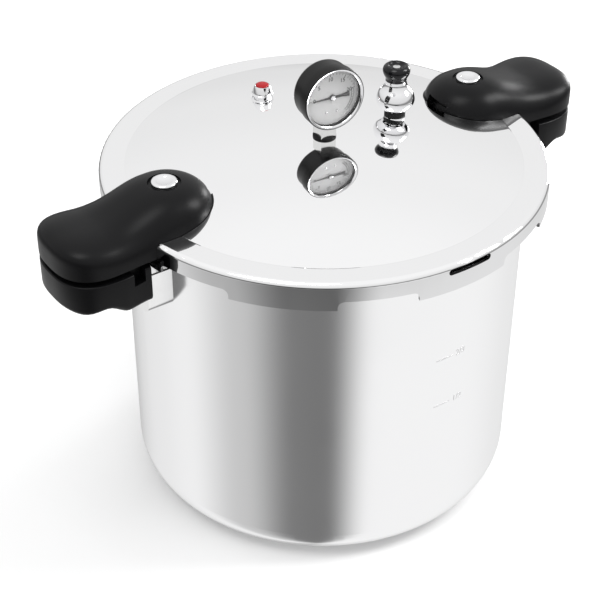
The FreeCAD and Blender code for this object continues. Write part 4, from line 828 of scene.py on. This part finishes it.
# %% The band around the lens
# Each corner is its distance in from the band's outside and back from its front, in millimetres.
outer = BEZEL_RADIUS / MM
back, front = bezel_back / MM, bezel_front / MM
BRIGHT_FROM = 0.9
SHEET = 0.95
LIP = [
    (0.0, 0.7), (0.2, 0.25), (0.6, 0.0), (BRIGHT_FROM, 0.0),
    (1.9, 0.25), (2.5, 0.9), (2.6, 1.2), (SHEET, 1.2),
]
lip = [(outer - inwards, front - backwards) for inwards, backwards in LIP]
band = spun([(outer - SHEET, back), (outer, back), *lip], ON_DIAL)
bezel = new_piece("gauge_bezel_band", band, "lid", "gauge_black")
bezel.data.materials.append(FINISHES["bright_chrome"])
for face in bezel.data.polygons:
    spot = face.center - GAUGE_CENTRE
    from_axis = (spot - OUTWARD * spot.dot(OUTWARD)).length
    face.material_index = 1 if from_axis < BEZEL_RADIUS - BRIGHT_FROM * MM else 0
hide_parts("gauge_bezel")
print(bezel.name, len(bezel.data.polygons), "faces")

# %% Print on the dial
INK_THICK = 0.05 * MM
LONG_TICK, LONG_WIDTH = 2.4 * MM, 0.5 * MM
SHORT_TICK, SHORT_WIDTH = 1.3 * MM, 0.28 * MM
DEGREES_PER_UNIT = 8.4
ZERO_AT = 180.0
UNITS = 20
RING_OUT = 19.6 * MM
NUMERAL_PLACE = 14.9 * MM
NUMERAL_SIZE = 4.4 * MM
NUMERAL_BOLD = 0.06 * MM


def turned_by(degrees):
    """A turn about the Z axis."""
    return Matrix.Rotation(math.radians(degrees), 4, "Z")


def dial_bar(mesh, degrees, from_reach, to_reach, width):
    """One radial printed bar."""
    made = bmesh.ops.create_cube(mesh, size=1.0)["verts"]
    bmesh.ops.scale(mesh, verts=made, vec=(to_reach - from_reach, width, INK_THICK))
    bmesh.ops.translate(mesh, verts=made, vec=((from_reach + to_reach) / 2, 0, dial_front + INK_THICK / 2))
    bmesh.ops.transform(mesh, matrix=turned_by(degrees), verts=made)


def dial_arc(mesh, start, end, from_reach, to_reach, steps=48):
    """A printed band around the dial from one angle to another."""
    ends = [mesh.verts.new((reach, 0, dial_front + INK_THICK)) for reach in (from_reach, to_reach)]
    edge = mesh.edges.new(ends)
    bmesh.ops.transform(mesh, matrix=turned_by(start), verts=ends)
    bmesh.ops.spin(mesh, geom=[*ends, edge], cent=(0, 0, 0), axis=(0, 0, 1), angle=math.radians(end - start),
                   steps=steps)


def add_text(mesh, words, size, thick, place, bold=0.0):
    """Plain figures as a thin solid, added to a bmesh."""
    curve = bpy.data.curves.new("figures", "FONT")
    curve.body = words
    curve.size = size
    curve.extrude = thick / 2
    curve.offset = bold
    curve.align_x = "CENTER"
    curve.align_y = "CENTER"
    holder = bpy.data.objects.new("figures", curve)
    flat = bpy.data.meshes.new_from_object(holder)
    flat.transform(place)
    mesh.from_mesh(flat)
    bpy.data.objects.remove(holder)


def on_dial(degrees, reach, up):
    """A place on the dial, by its angle from the right and its distance from the middle."""
    turn = math.radians(degrees)
    return Matrix.Translation((reach * math.cos(turn), reach * math.sin(turn), up))


ink = bmesh.new()
for unit in range(UNITS + 1):
    degrees = ZERO_AT - unit * DEGREES_PER_UNIT
    if unit % 5 == 0:
        dial_bar(ink, degrees, RING_OUT - LONG_TICK, RING_OUT, LONG_WIDTH)
        spot = on_dial(degrees, NUMERAL_PLACE, dial_front + INK_THICK / 2)
        add_text(ink, str(unit), NUMERAL_SIZE, INK_THICK, spot, NUMERAL_BOLD)
    else:
        dial_bar(ink, degrees, RING_OUT - SHORT_TICK, RING_OUT, SHORT_WIDTH)
SCALE_FROM = -48.0
SCALE_TO = ZERO_AT - UNITS * DEGREES_PER_UNIT - 3.0
SCALE_IN, SCALE_OUT = RING_OUT - 3.0 * MM, RING_OUT - 0.9 * MM
SCALE_STEPS = 8
dial_arc(ink, SCALE_FROM, SCALE_TO, SCALE_IN, SCALE_IN + 0.4 * MM)
dial_arc(ink, SCALE_FROM, SCALE_TO, SCALE_OUT - 0.3 * MM, SCALE_OUT)
for tick in range(SCALE_STEPS + 1):
    degrees = SCALE_FROM + (SCALE_TO - SCALE_FROM) * tick / SCALE_STEPS
    dial_bar(ink, degrees, SCALE_IN, SCALE_OUT, 0.2 * MM)
bmesh.ops.transform(ink, matrix=ON_DIAL, verts=ink.verts)
dial_print = new_piece("dial_print", ink, "lid", "dial_ink")
print(dial_print.name, len(dial_print.data.polygons), "faces")

# %% The dial's two screws and the pointer's hub
DIAL_SCREW_PLACE = 12.6 * MM
DIAL_SCREW_GAP = 0.02 * MM
for label, degrees in (("left", -112.0), ("right", -70.0)):
    spot = on_dial(degrees, DIAL_SCREW_PLACE, dial_front + DIAL_SCREW_GAP)
    head = spun([(0.0, 0.0), (1.0, 0.0), (1.0, 0.12), (0.7, 0.3), (0.0, 0.36)], ON_DIAL @ spot, steps=32)
    new_piece(f"dial_screw_{label}", head, "lid", "steel_fastener")
pointer_front = depth_of("gauge_pointer")[1] / MM
hub = spun([(0.0, 0.02), (1.9, 0.02), (1.9, 0.25), (1.5, 0.5), (0.0, 0.6)],
           ON_DIAL @ Matrix.Translation((0, 0, pointer_front * MM)), steps=48)
new_piece("pointer_hub", hub, "pointer", "bright_chrome")
frame["nodes"]["gauge_lens"].visible_shadow = False
print("dial furniture made")

# %% [markdown]
# ## The weight, the air vent and the screws
# The weight is turned to an egg and plated, with a black knob screwed on its top. The air vent is a small
# bright dome with a red cap in it. The screws that hold the lid's handles have a broad dished head. Each is
# spun from its outline, and where the outline is curved it runs smoothly through a few corners, so that
# reflections flow.

# %% A smooth outline
def flowing(corners, steps=6):
    """A smooth curve through (radius, height) corners, as a Catmull-Rom spline."""
    def between(a, b, c, d, t):
        bend = (2 * a - 5 * b + 4 * c - d) * t ** 2 + (3 * b - a - 3 * c + d) * t ** 3
        return 0.5 * (2 * b + (c - a) * t + bend)

    guides = [corners[0], *corners, corners[-1]]
    curve = []
    for spans in zip(guides, guides[1:], guides[2:], guides[3:]):
        for step in range(steps):
            curve.append(tuple(between(*values, step / steps) for values in zip(*spans)))
    return curve + [corners[-1]]


# %% The weight and its knob
weight_low, weight_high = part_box("regulator_weight")
weight_middle = (weight_low.x + weight_high.x) / 2
on_weight = Matrix.Translation((weight_middle, 0, weight_low.z))
EGG = [
    (9.8, 0.0), (13.2, 2.6), (14.9, 6.4), (14.9, 10.0),
    (13.2, 14.6), (10.2, 18.4), (8.7, 21.5), (8.5, 24.6),
]
BORE_RADIUS = 3.9
BORE_TOP = 11.7
bore = [(0.0, BORE_TOP), (BORE_RADIUS, BORE_TOP), (BORE_RADIUS, 0.0)]
egg = spun([*bore, (9.4, 0.0), *flowing(EGG), (0.0, EGG[-1][1])], on_weight)
PORT_RADIUS = 1.2 * MM
PORT_LEVEL = 17.0 * MM
PORT_CUT = 8.0 * MM
PORT_REACH = 12.0 * MM
port_level = Matrix.Translation((weight_middle, 0, weight_low.z + PORT_LEVEL))
port_out = Matrix.Translation((PORT_REACH, 0, 0))
ports = [round_cutter(PORT_RADIUS, PORT_CUT, [LAID_ALONG_X, port_out, turned_by(turn), port_level])
         for turn in (45, 135, 225, 315)]
egg = cut_away(egg, ports)
weight = new_piece("regulator_weight_turned", egg, "regulator", "bright_chrome")
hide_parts("regulator_weight")
knob_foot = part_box("regulator_knob")[0].z
on_knob = Matrix.Translation((weight_middle, 0, knob_foot))
KNOB_SIDE = [
    (8.3, 0.6), (8.5, 2.2), (10.1, 5.4), (10.7, 8.2), (9.9, 10.8),
    (7.9, 12.3), (6.6, 12.1), (5.2, 11.1), (3.2, 10.4),
]
KNOB_BORE = 1.65
knob = spun([(KNOB_BORE, 0.0), (8.0, 0.0), *flowing(KNOB_SIDE), (KNOB_BORE, 10.4)], on_knob, steps=96)
knob = new_piece("regulator_knob_moulding", knob, "regulator", "gloss_black", 50.0)
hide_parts("regulator_knob")
print(weight.name, len(weight.data.polygons), "faces;", knob.name, len(knob.data.polygons), "faces")

# %% The air vent's dome and its red cap
valve_low, valve_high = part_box("air_vent_housing")
valve_place = (valve_low.y + valve_high.y) / 2
VALVE_STEM_DROP = 9.0
on_valve = Matrix.Translation((0, valve_place, valve_low.z + VALVE_STEM_DROP * MM))
DOME = [(8.1, 3.1), (8.0, 4.0), (7.4, 6.0), (6.7, 8.0), (6.1, 9.3)]
STEM_AND_FOOT = [
    (2.2, -VALVE_STEM_DROP), (5.0, -VALVE_STEM_DROP), (5.0, 0.05),
    (7.0, 0.05), (7.0, 1.4), (8.5, 1.9), (8.5, 2.7),
]
MOUTH = [(5.7, 9.4), (5.7, 6.8), (2.2, 6.8)]
dome = spun([*STEM_AND_FOOT, *flowing(DOME), *MOUTH], on_valve, steps=96)
dome = new_piece("air_vent_dome", dome, "lid", "bright_chrome", sharp_degrees=40.0)
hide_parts("air_vent_housing")
CAP = [(5.35, 9.3), (5.0, 10.0), (3.6, 10.6), (1.8, 10.85), (0.0, 10.9)]
cap = spun([(0.0, 7.05), (5.35, 7.05), *flowing(CAP)], on_valve, steps=64)
cap = new_piece("float_button_cap", cap, "float_valve", "red_button", sharp_degrees=50.0)
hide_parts("float_button")
print(dome.name, len(dome.data.polygons), "faces;", cap.name, len(cap.data.polygons), "faces")

# %% The lid handles' screws
SHANK = [(0.0, -11.0), (3.0, -11.0), (3.0, 0.0), (9.4, 0.0)]
DISHED_HEAD = [
    (9.6, 0.2), (9.6, 2.2), (9.2, 2.9), (8.4, 3.2),
    (6.6, 3.15), (5.6, 2.7), (5.0, 2.2), (0.0, 2.1),
]
for side in ("left", "right"):
    screw_low, screw_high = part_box(f"lid_cap_screw_{side}")
    place = (screw_low.x + screw_high.x) / 2
    under_head = Matrix.Translation((place, 0, screw_high.z - CAP_HEIGHT))
    head = spun([*SHANK, *DISHED_HEAD], under_head, steps=96)
    head = new_piece(f"lid_cap_screw_{side}_turned", head, "lid", "bright_chrome", 50.0)
    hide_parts(f"lid_cap_screw_{side}")
    print(head.name, len(head.data.polygons), "faces")

# %% [markdown]
# ## Small things on the lid and the pot
# A black ring around the foot of the vent pipe, under the weight, is painted shade: the pipe's foot is only
# in shade there. The pot's wall has two fill marks, each a short line and a fraction, raised so little that
# they only catch the light. They are made flat and then wrapped around the wall by turning each place along
# the mark into an angle.

# %% Painted shade: the black ring at the vent pipe's foot
pipe_low, pipe_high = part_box("vent_pipe")
pipe_place = (pipe_low.x + pipe_high.x) / 2
SHADE_RING_IN, SHADE_RING_OUT = 7.6, 8.3
SHADE_RING_UPHILL = 8.0 * MM
FOOT_GAP, TOP_GAP = 0.1, 0.8
shade_ring_foot = lid_surface(pipe_place - SHADE_RING_UPHILL) + FOOT_GAP * MM
shade_ring_top = (weight_low.z - shade_ring_foot) / MM - TOP_GAP
outside = [(SHADE_RING_IN, 0.0), (SHADE_RING_OUT, 0.0), (SHADE_RING_OUT, shade_ring_top - 0.6)]
inside = [(SHADE_RING_OUT - 0.4, shade_ring_top), (SHADE_RING_IN, shade_ring_top)]
# The ring is painted shade: a black sheet where the pipe's foot lies in shade. The pipe has no collar.
shade_ring = spun(outside + inside, Matrix.Translation((pipe_place, 0, shade_ring_foot)), steps=64)
shade_ring = new_piece("vent_painted_shade_ring", shade_ring, "lid", "black_rubber")
print(shade_ring.name, len(shade_ring.data.polygons), "faces")

# %% Fill marks on the pot's wall
POT_RADIUS = 156.0 * MM
MARK_BEARING = -87.0
MARK_LINE = Vector((15.0, 0.9, 0.12)) * MM
LINE_AT, FRACTION_AT = -8.0 * MM, 7.5 * MM
FRACTION_SIZE = 7.5 * MM
LONGEST_EDGE = 5.0 * MM
FILL_LEVELS = {"2/3": 182 * MM, "1/2": 138 * MM}
marks = bmesh.new()
for words, level in FILL_LEVELS.items():
    line = bmesh.ops.create_cube(marks, size=1.0)["verts"]
    bmesh.ops.scale(marks, verts=line, vec=MARK_LINE)
    bmesh.ops.translate(marks, verts=line, vec=(LINE_AT, level, 0))
    add_text(marks, words, FRACTION_SIZE, MARK_LINE.z, Matrix.Translation((FRACTION_AT, level, 0)))
long_edges = [edge for edge in marks.edges if edge.calc_length() > LONGEST_EDGE]
bmesh.ops.subdivide_edges(marks, edges=long_edges, cuts=8, use_grid_fill=True)
for vert in marks.verts:
    turn = math.radians(MARK_BEARING) + vert.co.x / POT_RADIUS
    reach = POT_RADIUS + vert.co.z
    vert.co = Vector((reach * math.cos(turn), reach * math.sin(turn), vert.co.y))
fill_marks = new_piece("fill_marks", marks, "pot", "rack_aluminium")
print(fill_marks.name, len(fill_marks.data.polygons), "faces")

# %% [markdown]
# ## Floor
# A plain pale sheet takes the pot's soft shadow. It belongs to the studio and not to the object.

# %% Floor
FLOOR_HALF = 4.0
mesh = bmesh.new()
bmesh.ops.create_grid(mesh, x_segments=1, y_segments=1, size=FLOOR_HALF)
sheet = bpy.data.meshes.new("floor")
mesh.to_mesh(sheet)
mesh.free()
floor = bpy.data.objects.new("floor", sheet)
bpy.context.scene.collection.objects.link(floor)
paper, paper_tree, paper_shader = new_finish("floor_paper", (0.93, 0.93, 0.93), roughness=0.9)
fine = use_group(paper_tree, GRAIN, Scale=300.0)
raise_surface(paper_tree, paper_shader, fine.outputs["Value"], 2e-5)
sheet.materials.append(paper)
floor.visible_glossy = False
print("the floor is", 2 * FLOOR_HALF, "m across")
